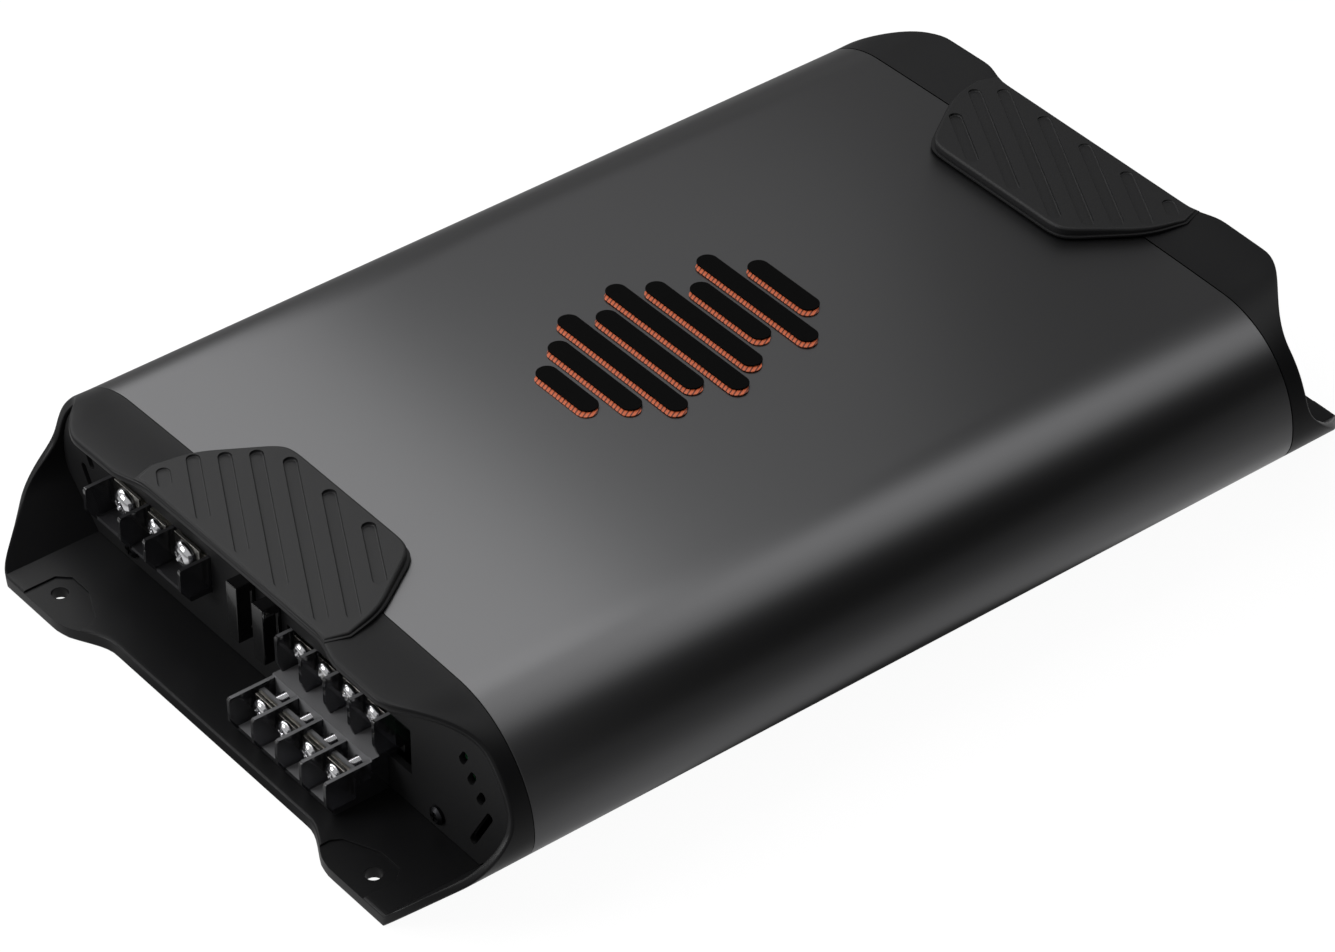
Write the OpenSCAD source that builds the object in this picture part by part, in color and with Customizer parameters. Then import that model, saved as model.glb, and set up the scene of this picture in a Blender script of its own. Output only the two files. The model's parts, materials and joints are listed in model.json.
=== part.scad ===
// Car amplifier: aluminium cover between two moulded end hoods with mounting ears.
// The terminal end is at -X, the control end at +X, and the part stands on z = 0.

/* [Cover] */
// Length of the aluminium cover between the two hoods
cover_length = 268; // [220:1:325]
// Height of the cover at the middle of its crown
cover_height = 57.4; // [52:0.5:70]
// Overall width, at the widest line of the sides
body_width = 213; // [190:1:256]
// Radius of the gently crowned top
crown_radius = 2500; // [1500:50:6000]
// Radius of the two upper corners
upper_corner_radius = 32.5; // [24:0.5:34]
// Radius of the bend below the widest line
lower_bend_radius = 13; // [8:0.5:16]
// Wall of the aluminium cover
cover_wall = 4.6; // [3.8:0.1:6]
// Half width of the opening in the bottom of the cover
base_opening = 76; // [70:0.5:78]
// Thickness of the steel bottom plate
base_plate_thickness = 1.5; // [1:0.1:2]

/* [Hoods] */
// Wall of a moulded hood
hood_wall = 2.4; // [2:0.1:3]
// Thickness of a hood's floor
hood_floor = 4.2; // [3.5:0.1:5]
// How far a hood reaches past the cover at the middle of its top edge
top_reach = 19.4; // [16:0.1:24]
// How far it reaches at the two shoulders of its top edge
shoulder_reach = 22.4; // [18:0.1:26]
// How far it reaches at its sides
side_reach = 6.2; // [6:0.1:8]
// How far its floor reaches in the middle
floor_reach = 29; // [26:0.1:32]
// How far its two mounting ears reach
ear_reach = 36.5; // [34:0.1:44]
// Distance of the ear holes past the cover's end
ear_hole_reach = 28.15; // [26:0.05:30]
// Half distance between the two ear holes of one hood
ear_hole_half = 73.55; // [70:0.05:76]
// Diameter of an ear hole
ear_hole_diameter = 5; // [4:0.1:6.5]
// Depth of the flat sunk round each ear hole
ear_pad_depth = 0.6; // [0.3:0.1:1]

/* [Grip pads] */
// How far a pad reaches over the cover, from the cover's end
pad_overlap = 19.7; // [14:0.1:30]
// Half width of a pad's inner edge
pad_inner_half = 25.5; // [20:0.5:30]
// Half width of a pad where it meets the hood's top edge
pad_outer_half = 44; // [38:0.5:46]
// Rise of the pad's inner edge over the cover
pad_rise = 3.4; // [2.8:0.1:5]
// Drop of the pad from its inner edge to its outer edge
pad_drop = 0.8; // [0:0.1:1.2]
// Thickness of the hood's tongue below the pad
tongue_thickness = 0.9; // [0.7:0.1:1.2]
// Number of grooves in a pad
groove_count = 7; // [5:1:9]
// Distance between groove centre lines
groove_pitch = 8.5; // [7:0.1:10]
// Width of a groove
groove_width = 4; // [2.5:0.1:5]
// Depth of a groove
groove_depth = 0.9; // [0.4:0.1:1]
// Angle of the grooves from the long axis
groove_angle = 61.6; // [45:0.1:75]

/* [End panels] */
// Distance of a panel's outer face past the cover's end
panel_offset = 5; // [4.5:0.1:6]
// Thickness of an end panel
panel_thickness = 2; // [1.5:0.1:2.5]

/* [Terminals] */
// Distance between speaker terminals
speaker_pitch = 11; // [10:0.1:12]
// Number of speaker terminals in each tier
speaker_columns = 4; // [4:1:4]
// Y of the middle of the speaker terminals
speaker_mid_y = -27; // [-32:0.5:-25]
// Height of the lower row of speaker screws
speaker_low_z = 12.6; // [12.4:0.1:13.4]
// Height of the upper row of speaker screws
speaker_high_z = 25.7; // [25:0.1:28]
// Thickness of a barrier fin
fin_thickness = 1.2; // [1:0.1:1.6]
// Width of a wide cell of the power terminals
power_cell = 16.8; // [15:0.1:18]
// Width of the narrow cell of the remote terminal
remote_cell = 12.2; // [11:0.1:14]
// Y of the middle of the power terminals
power_mid_y = 55.3; // [53:0.1:57]
// Height of the power screws
power_z = 27.5; // [25:0.1:31]
// Thread diameter of a speaker screw
speaker_thread = 3; // [2.5:0.1:3.5]
// Thread diameter of a power screw
power_thread = 5; // [4:0.1:5.5]
// Thickness of a clamp washer
clamp_thickness = 1; // [0.8:0.1:1.2]

/* [Fuses] */
// Width of a blade fuse
fuse_width = 19; // [17:0.1:20]
// Thickness of a blade fuse
fuse_thickness = 5; // [4:0.1:5.5]
// How far a fuse stands out of the panel
fuse_out = 6; // [4:0.1:7]
// Distance between the two fuses
fuse_pitch = 12; // [11:0.1:13]
// Y of the middle of the two fuses
fuse_mid_y = 7.2; // [6.5:0.1:9]
// Height of the middle of the fuses
fuse_z = 27; // [24.5:0.1:28]

/* [Circuit board] */
// Height of the underside of the board
board_z = 12; // [10:0.5:13]
// Thickness of the board
board_thickness = 1.6; // [1:0.1:2]
// Half width of the board
board_half_width = 74; // [68:0.5:75]

/* [Controls] */
// Diameter of a control knob
knob_diameter = 6; // [5:0.1:8]
// How far a knob stands out of the panel
knob_out = 5; // [3:0.1:8]
// Height of the row of knobs
knob_z = 36; // [34:0.5:38]
// Distance between the knobs
knob_pitch = 18; // [15:0.5:20]
// Height of the row of slide switches
switch_z = 21; // [20:0.5:23]
// Travel of a slide switch
switch_travel = 4; // [3:0.1:6]
// Outer diameter of an input jack
jack_diameter = 8.3; // [8:0.1:9]
// Distance between the input jacks
jack_pitch = 15; // [13:0.5:17]

/* [Emblem] */
// Distance between the bars of the emblem
emblem_pitch = 9.6; // [7:0.1:11]
// Width of one bar
emblem_bar = 6.4; // [3:0.1:6.8]
// Height of the emblem's face above the cover
emblem_rise = 0.9; // [0.7:0.1:1.5]
// Sideways step of the coloured layer below the face
emblem_step = 1.5; // [0.5:0.1:2.5]

/* [Clearances] */
// Gap between pieces that are assembled side by side
gap = 0.3; // [0.2:0.05:0.4]
// Radial clearance of a shaft that turns in its hole
running_fit = 0.08; // [0.03:0.01:0.1]

/* [Hidden] */
$fn = 64;
HULL_FN = 32;
eps = 0.01;
tuck_inside = 0.05;
half_length = cover_length / 2;
panel_x = half_length + panel_offset;
panel_back = panel_x - panel_thickness;
ear_x = half_length + ear_reach;
hole_x = half_length + ear_hole_reach;

// Cross section: centres of the crown, corner and bend circles
corner_y = body_width / 2 - upper_corner_radius;
bend_y = body_width / 2 - lower_bend_radius;
crown_z = cover_height - crown_radius;
corner_z = crown_z + sqrt(pow(crown_radius - upper_corner_radius, 2) - pow(corner_y, 2));
function crown_at(y) = crown_z + sqrt(pow(crown_radius, 2) - pow(y, 2));
// Y of the 45 degree tuck below the bend, at a height and an inset
function tuck_y(z, inset) = bend_y + (lower_bend_radius - inset) * sqrt(2) - corner_z + z;

// Base
base_z = 0.4;
base_top = base_z + base_plate_thickness;
base_half = base_opening + 5.5;
rail_top = base_top + 6;
base_screw_y = base_opening + 2.8;
base_screw_xs = [for (k = [-1.5, -0.5, 0.5, 1.5]) k * cover_length / 3.4];
base_screw_r = 1.5;

// Ribs that carry the output transistors
rib_y = base_opening + 8;
rib_thickness = 4;

// Pads: heights over the cover's crown
pad_top = cover_height + pad_rise;
pad_inner_x = half_length - pad_overlap;
pad_outer_x = half_length + top_reach;
pad_tilt = atan(pad_drop / (pad_outer_x - pad_inner_x));
seat_lift = 0.15;
tongue_top = cover_height + seat_lift + tongue_thickness;

// Speaker terminal block, with reach measured outwards from the panel's face
fin_count = speaker_columns + 1;
low_plate = 11.8;
high_plate = -1.8;
low_fin_reach = 20.8;
high_fin_reach = 4.6;
step_reach = 5.7;
plate_thickness = 0.8;
plate_half = 4;
plate_rise = 2.7;
fin_rise = 3.75;
block_back = 9;
block_foot = hood_floor + gap;
step_top = speaker_low_z + 3.5;
speaker_slack = 10;
low_top = speaker_low_z + fin_rise;
high_top = speaker_high_z + fin_rise;
speaker_y0 = speaker_mid_y - speaker_pitch * speaker_columns / 2;
speaker_y1 = speaker_mid_y + speaker_pitch * speaker_columns / 2;
function speaker_y(i) = speaker_mid_y + (speaker_columns / 2 - 0.5 - i) * speaker_pitch;
speaker_bore = speaker_thread / 2 + gap;
speaker_shank = 8;

// Power terminal block
power_plate = 0.2;
power_fin_reach = 10;
power_low = power_z - 8.5;
power_high = power_z + 3.6;
power_offsets = [-remote_cell / 2 - power_cell, -remote_cell / 2, remote_cell / 2,
                 remote_cell / 2 + power_cell];
power_screw_ys = [power_mid_y + (remote_cell + power_cell) / 2, power_mid_y,
                  power_mid_y - (remote_cell + power_cell) / 2];
power_y0 = power_mid_y + power_offsets[0] - fin_thickness / 2;
power_y1 = power_mid_y + power_offsets[3] + fin_thickness / 2;
power_shank = 8;

// Fuses
fuse_body_depth = 12;
blade_length = 8;
blade_width = 5;
blade_thickness = 0.8;
blade_spread = 5.4;
holder_depth = 17;
function fuse_y(i) = fuse_mid_y + (0.5 - i) * fuse_pitch;

// Circuit board and what stands on it
board_top = board_z + board_thickness;
board_half_length = half_length - 4;
standoff_xs = [-0.86, 0, 0.86] * board_half_length;
standoff_y = board_half_width - 6;
standoff_r = 3;
board_screw_r = 1.5;
core_x = -45;
core_r = 25;
core_hole_r = 10;
core_height = 22;
capacitor_r = 9;
capacitor_height = 32;
capacitor_pitch = 21;
capacitor_x = 6;
coil_r = 9;
coil_hole_r = 4;
coil_height = 12;
coil_pitch = 24;
coil_x = 80;
transistor_count = 6;
transistor_pitch = 30;
transistor_width = 15.6;
transistor_height = 20;
transistor_thickness = 4.6;
transistor_foot = board_top + 5;
leg_width = 1.2;
leg_spread = 5.4;
rib_face = rib_y - rib_thickness / 2;
bar_thickness = 2;
bar_height = 8;
bar_z = transistor_foot + 8;
bar_face = rib_face - transistor_thickness - 2 * seat_lift;

// Emblem: half lengths of its bars
emblem_bars = [9, 16, 24, 19, 27, 21, 13, 22, 11];
emblem_base = cover_height + 0.05;
emblem_layer = 0.3;

// Controls
knob_mid_y = 27;
knob_shaft_in = 6;
pot_half = 5.5;
switch_ys = [knob_mid_y - 13, knob_mid_y + 13];
switch_nub = [3, 2.4, 3.2];
switch_case = [8, 13, 8];
jack_mid_y = -52;
jack_zs = [22, 37];
jack_out = 8.5;
jack_wall = 1.1;
jack_bore_r = 1.7;
jack_case_depth = 11;
jack_back = panel_back - 6;
socket_y = -18;
socket_z = 23;
socket_size = [10, 18, 11];
lens_y = 66;
lens_z = 30;
lens_r = 1.5;

// Panel fixings and vents, as distances inside the section
panel_screw_y = 71;
panel_screw_z = hood_floor + 5.4;
panel_screw_r = 1.5;
panel_screw_length = 6;
vent_width = 2.6;

// ---------- helpers ----------
function clamp01(t) = min(1, max(0, t));
function ease(t) = clamp01(t) * clamp01(t) * (3 - 2 * clamp01(t));
function blend(a, b, t) = a + (b - a) * ease(t);

// A Y-Z outline pushed along X
module x_prism(x0, x1) { translate([x0, 0, 0]) rotate([90, 0, 90]) linear_extrude(x1 - x0) children(); }
// An X-Z outline pushed along Y
module y_prism(y0, y1) { translate([0, y1, 0]) rotate([90, 0, 0]) linear_extrude(y1 - y0) children(); }
module box(lo, hi) { translate(lo) cube(hi - lo); }
module x_rod(r, x0, x1) { translate([x0, 0, 0]) rotate([0, 90, 0]) cylinder(r = r, h = x1 - x0); }
module both_sides() { children(); mirror([0, 1, 0]) children(); }
// Turns what is drawn for the +X end to the -X end
module front_end() { rotate([0, 0, 180]) children(); }

// ---------- cross section ----------
module section(inset, bottom) {
    foot = tuck_y(bottom, inset + tuck_inside);
    intersection() {
        translate([0, crown_z]) circle(r = crown_radius - inset, $fn = 360);
        union() {
            translate([-corner_y, corner_z]) square([2 * corner_y, cover_height - corner_z]);
            for (side = [-1, 1]) {
                intersection() {
                    translate([side * corner_y, corner_z]) circle(r = upper_corner_radius - inset);
                    translate([-body_width, corner_z]) square([2 * body_width, cover_height]);
                }
                translate([side * bend_y, corner_z]) circle(r = lower_bend_radius - inset);
            }
            // the tuck runs a hair inside the bend's tangent, so the two cross at a clear angle
            tuck = (lower_bend_radius - inset - tuck_inside) / sqrt(2);
            polygon([[-foot, bottom], [foot, bottom], [bend_y + tuck, corner_z - tuck],
                     [bend_y, corner_z], [-bend_y, corner_z], [-bend_y - tuck, corner_z - tuck]]);
        }
    }
}

// ---------- cover and base ----------
module cover_section() {
    difference() {
        section(0, 0);
        difference() {
            section(cover_wall, cover_wall);
            for (side = [-1, 1]) {
                translate([side * rib_y - rib_thickness / 2, 0])
                    square([rib_thickness, cover_height]);
                translate([side > 0 ? base_opening : -base_opening - 16, 0]) square([16, rail_top]);
            }
        }
        translate([-base_opening, -eps]) square([2 * base_opening, rail_top]);
        translate([-base_half, -eps]) square([2 * base_half, base_top + gap]);
        for (side = [-1, 1])
            translate([side * rib_y - rib_thickness, rail_top]) square([2 * rib_thickness, 12]);
    }
}
module top_cover() {
    color("dimgray") difference() {
        union() {
            x_prism(-half_length, half_length) cover_section();
            for (turn = [0, 180]) rotate([0, 0, turn])
                x_prism(half_length - 6, panel_back - gap) difference() {
                    section(hood_wall + gap, hood_floor + gap);
                    section(cover_wall - 0.3, 0);
                }
        }
        base_screw_places() translate([0, 0, base_top])
            cylinder(r = base_screw_r + running_fit, h = rail_top - base_top - 1);
        clamp_screw_places() translate([0, -eps, 0]) rotate([-90, 0, 0])
            cylinder(r = board_screw_r + running_fit, h = rib_thickness - 1);
    }
}
module base_screw_places() {
    both_sides() for (x = base_screw_xs) translate([x, base_screw_y, 0]) children();
}
module bottom_plate() {
    color("darkslategray") difference() {
        box([-half_length + gap, -base_half + gap, base_z], [half_length - gap, base_half - gap, base_top]);
        base_screw_places() {
            cylinder(r = base_screw_r + gap, h = 2 * base_top);
            cylinder(r1 = base_screw_r + 1.6, r2 = base_screw_r + gap, h = base_top - 0.3);
        }
        standoff_places() cylinder(r = board_screw_r, h = 2 * base_top);
    }
}
module base_screws() {
    color("silver") base_screw_places() {
        translate([0, 0, base_z + 0.1]) cylinder(r1 = base_screw_r + 1.2, r2 = base_screw_r, h = 1.1);
        translate([0, 0, base_z + 0.1]) cylinder(r = base_screw_r, h = rail_top - base_z - 2);
    }
}

// ---------- emblem ----------
module emblem_shape() {
    middle = (len(emblem_bars) - 1) / 2;
    for (k = [0:len(emblem_bars) - 1]) translate([(k - middle) * emblem_pitch, 3]) {
        square([emblem_bar, 2 * emblem_bars[k]], center = true);
        for (s = [-1, 1]) translate([0, s * emblem_bars[k]]) circle(d = emblem_bar);
    }
}
module emblem_edge() {
    color("darkorange") translate([-emblem_step, -emblem_step, emblem_base]) linear_extrude(emblem_layer) emblem_shape();
}
module emblem_face() {
    color("black") translate([0, 0, emblem_base + emblem_layer + 0.05])
        linear_extrude(emblem_rise - emblem_layer - 0.1) emblem_shape();
}

// ---------- hoods ----------
// Reach of the mouth's edge past the cover: along the top, down the sides and round the floor
function top_edge(y) = blend(blend(top_reach, shoulder_reach, (abs(y) - 39) / 13), side_reach,
                             (abs(y) - corner_y + 6) / 29);
side_slope = 1.163;
function side_line(z) = ear_reach + 2 - side_slope * z - side_reach;
function side_edge(z) = side_reach + 2.5 * ln(1 + exp(side_line(z) / 2.5));
ear_side = tuck_y(0, 0);
ear_round = 6.5;
function ear_corner(y) = ear_round - sqrt(pow(ear_round, 2)
                         - pow(max(0, min(ear_round, abs(y) - ear_side + ear_round)), 2));
function floor_edge(y) = blend(floor_reach, ear_reach, (abs(y) - 45) / 20) - ear_corner(y) * 0.6;

module mouth_shape() {
    split = corner_z + 12;
    top_ys = [for (y = [-body_width / 2 : 1.5 : body_width / 2 + 1]) y];
    floor_ys = [for (y = [-ear_side - 5 : 1.5 : ear_side + 6]) y];
    side_zs = [for (z = [hood_floor : 1.2 : split + 1]) z];
    translate([0, 0, split]) linear_extrude(cover_height)
        polygon(concat([[0, body_width], [0, -body_width]],
                       [for (y = top_ys) [half_length + top_edge(y), y]]));
    y_prism(-body_width, body_width)
        polygon(concat([[0, hood_floor]], [for (z = side_zs) [half_length + side_edge(z), z]],
                       [[0, side_zs[len(side_zs) - 1]]]));
    translate([0, 0, -1]) linear_extrude(hood_floor + 1)
        polygon(concat([[0, ear_side + 6], [0, -ear_side - 6]],
                       [for (y = floor_ys) [half_length + floor_edge(y), y]]));
}
// Plan outline of the pad, grown by a margin at its inner edge and its slanted sides
module pad_outline(grow) {
    inner = pad_inner_x - grow;
    half = [pad_inner_half + grow * 0.5, pad_inner_half + 4 + grow, pad_outer_half - 1.5 + grow,
            pad_outer_half + 1.3 + grow, pad_outer_half - 1 + grow];
    xs = [inner, inner + 2.3, half_length + 1.3, half_length + 13, half_length + top_reach + 4];
    polygon(concat([for (k = [0:4]) [xs[k], half[k]]], [for (k = [4:-1:0]) [xs[k], -half[k]]]));
}
// A flat layer with the pad's outline that ends at the hood's top edge
module pad_layer(grow, z0, z1) {
    translate([0, 0, z0]) linear_extrude(z1 - z0) intersection() {
        pad_outline(grow);
        polygon(concat([[0, 60], [0, -60]], [for (y = [-60:3:60]) [half_length + top_edge(y), y]]));
    }
}
module ear_pad_outline() {
    x0 = hole_x - 6.2;
    y0 = ear_hole_half;
    polygon([[ear_x + 5, y0 + 6.3], [x0 + 3.5, y0 + 6.3], [x0, y0 + 3], [x0, y0 - 5], [x0 + 4.8, y0 - 15.5],
             [x0 + 7.7, y0 - 17.3], [ear_x + 5, y0 - 17.3]]);
}
module hood() {
    difference() {
        union() {
            intersection() {
                x_prism(half_length, ear_x + 1) difference() {
                    section(0, 0);
                    section(hood_wall, hood_floor);
                }
                mouth_shape();
            }
            pad_layer(0.7, cover_height + seat_lift, tongue_top);
            intersection() {
                pad_layer(0.7, cover_height - hood_wall / 2, tongue_top);
                translate([half_length, -body_width, 0]) cube([60, 2 * body_width, 2 * cover_height]);
            }
        }
        both_sides() {
            translate([hole_x, ear_hole_half, -1]) cylinder(r = ear_hole_diameter / 2, h = hood_floor + 2);
            translate([0, 0, hood_floor - ear_pad_depth]) linear_extrude(2) ear_pad_outline();
        }
    }
}
module rear_hood() { color("dimgray") hood(); }
module front_hood() { color("dimgray") front_end() hood(); }

module grooves() {
    run = 2 * pad_outer_half / sin(groove_angle);
    intersection() {
        translate([pad_inner_x, 0, pad_top]) rotate([0, pad_tilt, 0])
            for (k = [0:groove_count - 1]) {
                shift = (k - (groove_count - 1) / 2) * groove_pitch / cos(groove_angle);
                translate([(pad_outer_x - pad_inner_x) / 2, shift, -groove_depth]) rotate([0, 0, groove_angle])
                    translate([-run / 2, -groove_width / 2, 0]) cube([run, groove_width, 10]);
            }
        linear_extrude(2 * cover_height) groove_limit();
    }
}
module groove_limit() {
    margin = 4;
    polygon([[pad_inner_x + margin, pad_inner_half - 1], [half_length - 1, pad_outer_half - 5],
             [pad_outer_x - margin, pad_outer_half - 4], [pad_outer_x - margin, 4 - pad_outer_half],
             [half_length - 1, 5 - pad_outer_half], [pad_inner_x + margin, 1 - pad_inner_half]]);
}
module grip_pad() {
    difference() {
        pad_layer(0, tongue_top, pad_top);
        translate([pad_inner_x, 0, pad_top]) rotate([0, pad_tilt, 0])
            translate([-20, -60, 0]) cube([100, 120, 10]);
        grooves();
    }
}
module rear_grip_pad() { color("black") grip_pad(); }
module front_grip_pad() { color("black") front_end() grip_pad(); }

// ---------- end panels ----------
module panel_blank() {
    x_prism(panel_back, panel_x) section(hood_wall + gap, hood_floor + gap);
}
module panel_screw_places() {
    both_sides() translate([0, panel_screw_y, panel_screw_z]) children();
}
module vent(y, z, length) {
    translate([0, y, z]) rotate([60, 0, 0]) {
        box([panel_back - 1, -length / 2, -vent_width / 2], [panel_x + 1, length / 2, vent_width / 2]);
        for (s = [-1, 1]) translate([0, s * length / 2, 0]) x_rod(vent_width / 2, panel_back - 1, panel_x + 1);
    }
}
module panel_vents() {
    both_sides() {
        vent(corner_y + 9, corner_z + 13.7, 2.6);
        vent(corner_y + 12.4, corner_z + 8.9, 2.6);
        vent(corner_y + 16.2, corner_z + 4.6, 2.6);
        vent(corner_y + 16, corner_z - 6, 15);
    }
}
module panel_cuts() {
    panel_vents();
    panel_screw_places() x_rod(panel_screw_r + running_fit, panel_back - 1, panel_x + 1);
}
module terminal_panel() {
    color("black") front_end() difference() {
        panel_blank();
        panel_cuts();
        // openings for the two terminal blocks; this end is drawn turned round, so Y is negative here
        box([panel_back - 1, -power_y1 - gap, power_low - gap], [panel_x + 1, -power_y0 + gap, power_high + gap]);
        box([panel_back - 1, -speaker_y1 - fin_thickness / 2 - gap, step_top - gap],
            [panel_x + 1, -speaker_y0 + fin_thickness / 2 + speaker_slack, high_top + 1.5]);
        for (i = [0:1])
            box([panel_back - 1, -fuse_y(i) - fuse_thickness / 2 - gap, fuse_z - fuse_width / 2 - gap],
                [panel_x + 1, -fuse_y(i) + fuse_thickness / 2 + gap, fuse_z + fuse_width / 2 + gap]);
    }
}
module control_panel() {
    color("black") difference() {
        panel_blank();
        panel_cuts();
        knob_places() x_rod(knob_diameter / 2 + gap, panel_back - 1, panel_x + 1);
        for (y = switch_ys)
            box([panel_back - 1, y - (switch_nub.y + switch_travel) / 2 - 2 * gap, switch_z - switch_nub.z / 2 - gap],
                [panel_x + 1, y + (switch_nub.y + switch_travel) / 2 + 2 * gap, switch_z + switch_nub.z / 2 + gap]);
        jack_places() x_rod(jack_diameter / 2 + gap, panel_back - 1, panel_x + 1);
        box([panel_back - 1, socket_y - socket_size.y / 2 - gap, socket_z - socket_size.z / 2 - gap],
            [panel_x + 1, socket_y + socket_size.y / 2 + gap, socket_z + socket_size.z / 2 + gap]);
        translate([0, lens_y, lens_z]) x_rod(lens_r + running_fit, panel_back - 1, panel_x + 1);
    }
}
module panel_screws() {
    color("dimgray") for (turn = [0, 180]) rotate([0, 0, turn]) panel_screw_places() {
        x_rod(panel_screw_r, panel_x - panel_screw_length, panel_x);
        translate([panel_x, 0, 0]) pan_head(2.8, 1.6, 1);
    }
}
// A pan head that looks along +X, with a cross recess
module pan_head(radius, height, recess) {
    difference() {
        union() {
            x_rod(radius, 0, height * 0.55);
            rotate([0, 90, 0]) translate([0, 0, height * 0.55])
                cylinder(r1 = radius, r2 = radius * 0.62, h = height * 0.45);
        }
        for (turn = [0, 90]) rotate([turn, 0, 0])
            box([height - recess, -radius * 0.55, -radius * 0.12], [height + 1, radius * 0.55, radius * 0.12]);
    }
}

// ---------- speaker terminals ----------
// Side view of a fin whose lower front corner is cut back
module fin_2d(x0, x1, z0, z1, cut) {
    polygon([[x0, z0], [x1 - cut.x, z0], [x1, z0 + cut.y], [x1, z1 - 0.6], [x1 - 0.6, z1], [x0, z1]]);
}
module speaker_terminal_block() {
    y0 = -speaker_y1 - fin_thickness / 2;
    y1 = -speaker_y0 + fin_thickness / 2;
    face = panel_x;
    low_face = face + low_plate - plate_thickness;
    high_face = face + high_plate - plate_thickness;
    color("black") front_end() difference() {
        union() {
            // foot, low body, the wall behind the lower contacts and the step
            box([face + gap, y0, block_foot], [face + low_fin_reach - 2.4, y1, block_foot + 1.5]);
            box([face + gap, y0, block_foot], [low_face, y1, speaker_low_z - 2.2]);
            box([low_face - 1.6, y0, block_foot], [low_face, y1, speaker_low_z + plate_rise - 0.3]);
            box([face + gap, y0, block_foot], [face + step_reach, y1, step_top]);
            // upper body, which passes through the panel to the board
            box([panel_back - block_back, y0, step_top + gap], [high_face, y1, high_top - 0.9]);
            box([high_face - 1, y0, step_top - gap / 2], [face + step_reach, y1, step_top + gap + 0.6]);
            box([panel_back - block_back, y0, board_top + seat_lift], [panel_back - 3, y1, step_top + 1]);
            for (k = [0:fin_count - 1]) {
                y = y0 + fin_thickness / 2 + k * speaker_pitch;
                y_prism(y - fin_thickness / 2, y + fin_thickness / 2) {
                    fin_2d(face + step_reach - 0.5, face + low_fin_reach, block_foot + 0.1, low_top, [2.4, 4]);
                    fin_2d(high_face - 1, face + high_fin_reach, step_top + 0.3, high_top, [1.6, 4.6]);
                }
            }
        }
        for (i = [0:speaker_columns - 1]) {
            translate([0, -speaker_y(i), speaker_low_z])
                x_rod(speaker_bore, low_face - speaker_shank, low_face + 1);
            translate([0, -speaker_y(i), speaker_high_z])
                x_rod(speaker_bore, high_face - speaker_shank, high_face + 1);
        }
    }
}
module speaker_terminal_places() {
    for (i = [0:2 * speaker_columns - 1]) {
        low = i >= speaker_columns;
        translate([panel_x + (low ? low_plate : high_plate), -speaker_y(i % speaker_columns),
                   low ? speaker_low_z : speaker_high_z]) children();
    }
}
module speaker_contacts() {
    color("silver") front_end() speaker_terminal_places() difference() {
        box([-plate_thickness, -plate_half, -plate_half - 1.5], [0, plate_half, plate_rise]);
        x_rod(speaker_thread / 2 + gap, -2, 2);
    }
}
module terminal_screw(thread, head_r, head_h, shank) {
    x_rod(thread / 2, -shank, clamp_thickness + gap + running_fit + 1);
    translate([clamp_thickness + gap + running_fit, 0, 0]) pan_head(head_r, head_h, head_h * 0.6);
}
module terminal_clamp(thread, half) {
    difference() {
        box([gap, -half, -half], [gap + clamp_thickness, half, half * 0.72]);
        x_rod(thread / 2 + running_fit, -2, 4);
    }
}
module speaker_terminal_at(i) {
    low = i > speaker_columns;
    column = (i - 1) % speaker_columns;
    front_end() translate([panel_x + (low ? low_plate : high_plate), -speaker_y(column),
                           low ? speaker_low_z : speaker_high_z]) children();
}
module speaker_screw(i) {
    color("silver") speaker_terminal_at(i) terminal_screw(speaker_thread, 3.1, 2.3, speaker_shank - 1.2);
}
module speaker_clamp(i) { color("gainsboro") speaker_terminal_at(i) terminal_clamp(speaker_thread, 3.9); }

// ---------- power terminals ----------
module power_terminal_block() {
    color("black") front_end() difference() {
        union() {
            box([panel_back - block_back, -power_y1, power_low], [panel_x + power_plate - plate_thickness, -power_y0, power_high]);
            box([panel_back - block_back, -power_y1, board_top + seat_lift],
                [panel_back - 4, -power_y0, power_low + 1]);
            box([panel_x - 1, -power_y1, power_low], [panel_x + power_fin_reach - 3.2, -power_y0, power_low + 1.1]);
            for (offset = power_offsets) {
                y = -power_mid_y - offset;
                y_prism(y - fin_thickness / 2, y + fin_thickness / 2)
                    fin_2d(panel_x - 1, panel_x + power_fin_reach, power_low, power_high, [3.2, 4.6]);
            }
        }
        for (k = [0:2]) translate([0, -power_screw_ys[k], power_z])
            x_rod((k == 1 ? speaker_thread : power_thread) / 2 + gap, panel_x - power_shank, panel_x + 1);
    }
}
module power_terminal_at(k) {
    front_end() translate([panel_x + power_plate, -power_screw_ys[k], power_z]) children();
}
module power_contacts() {
    color("silver") for (k = [0:2]) power_terminal_at(k) difference() {
        half = (k == 1 ? remote_cell : power_cell) / 2 - fin_thickness / 2 - 2 * gap;
        box([-plate_thickness, -half, power_low + 1.5 - power_z], [0, half, power_high - 0.5 - power_z]);
        x_rod((k == 1 ? speaker_thread : power_thread) / 2 + gap, -2, 2);
    }
}
module power_screw(k) {
    color("silver") power_terminal_at(k) terminal_screw(power_thread, 4.4, 3, power_shank - 1.2);
}
module power_clamp(k) { color("gainsboro") power_terminal_at(k) terminal_clamp(power_thread, 6); }
module power_screw_1() { power_screw(0); }
module power_screw_2() { power_screw(2); }
module remote_screw() {
    color("silver") power_terminal_at(1) terminal_screw(speaker_thread, 3.1, 2.3, power_shank - 1.2);
}
module power_clamp_1() { power_clamp(0); }
module power_clamp_2() { power_clamp(2); }
module remote_clamp() { color("gainsboro") power_terminal_at(1) terminal_clamp(speaker_thread, 4.2); }

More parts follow.
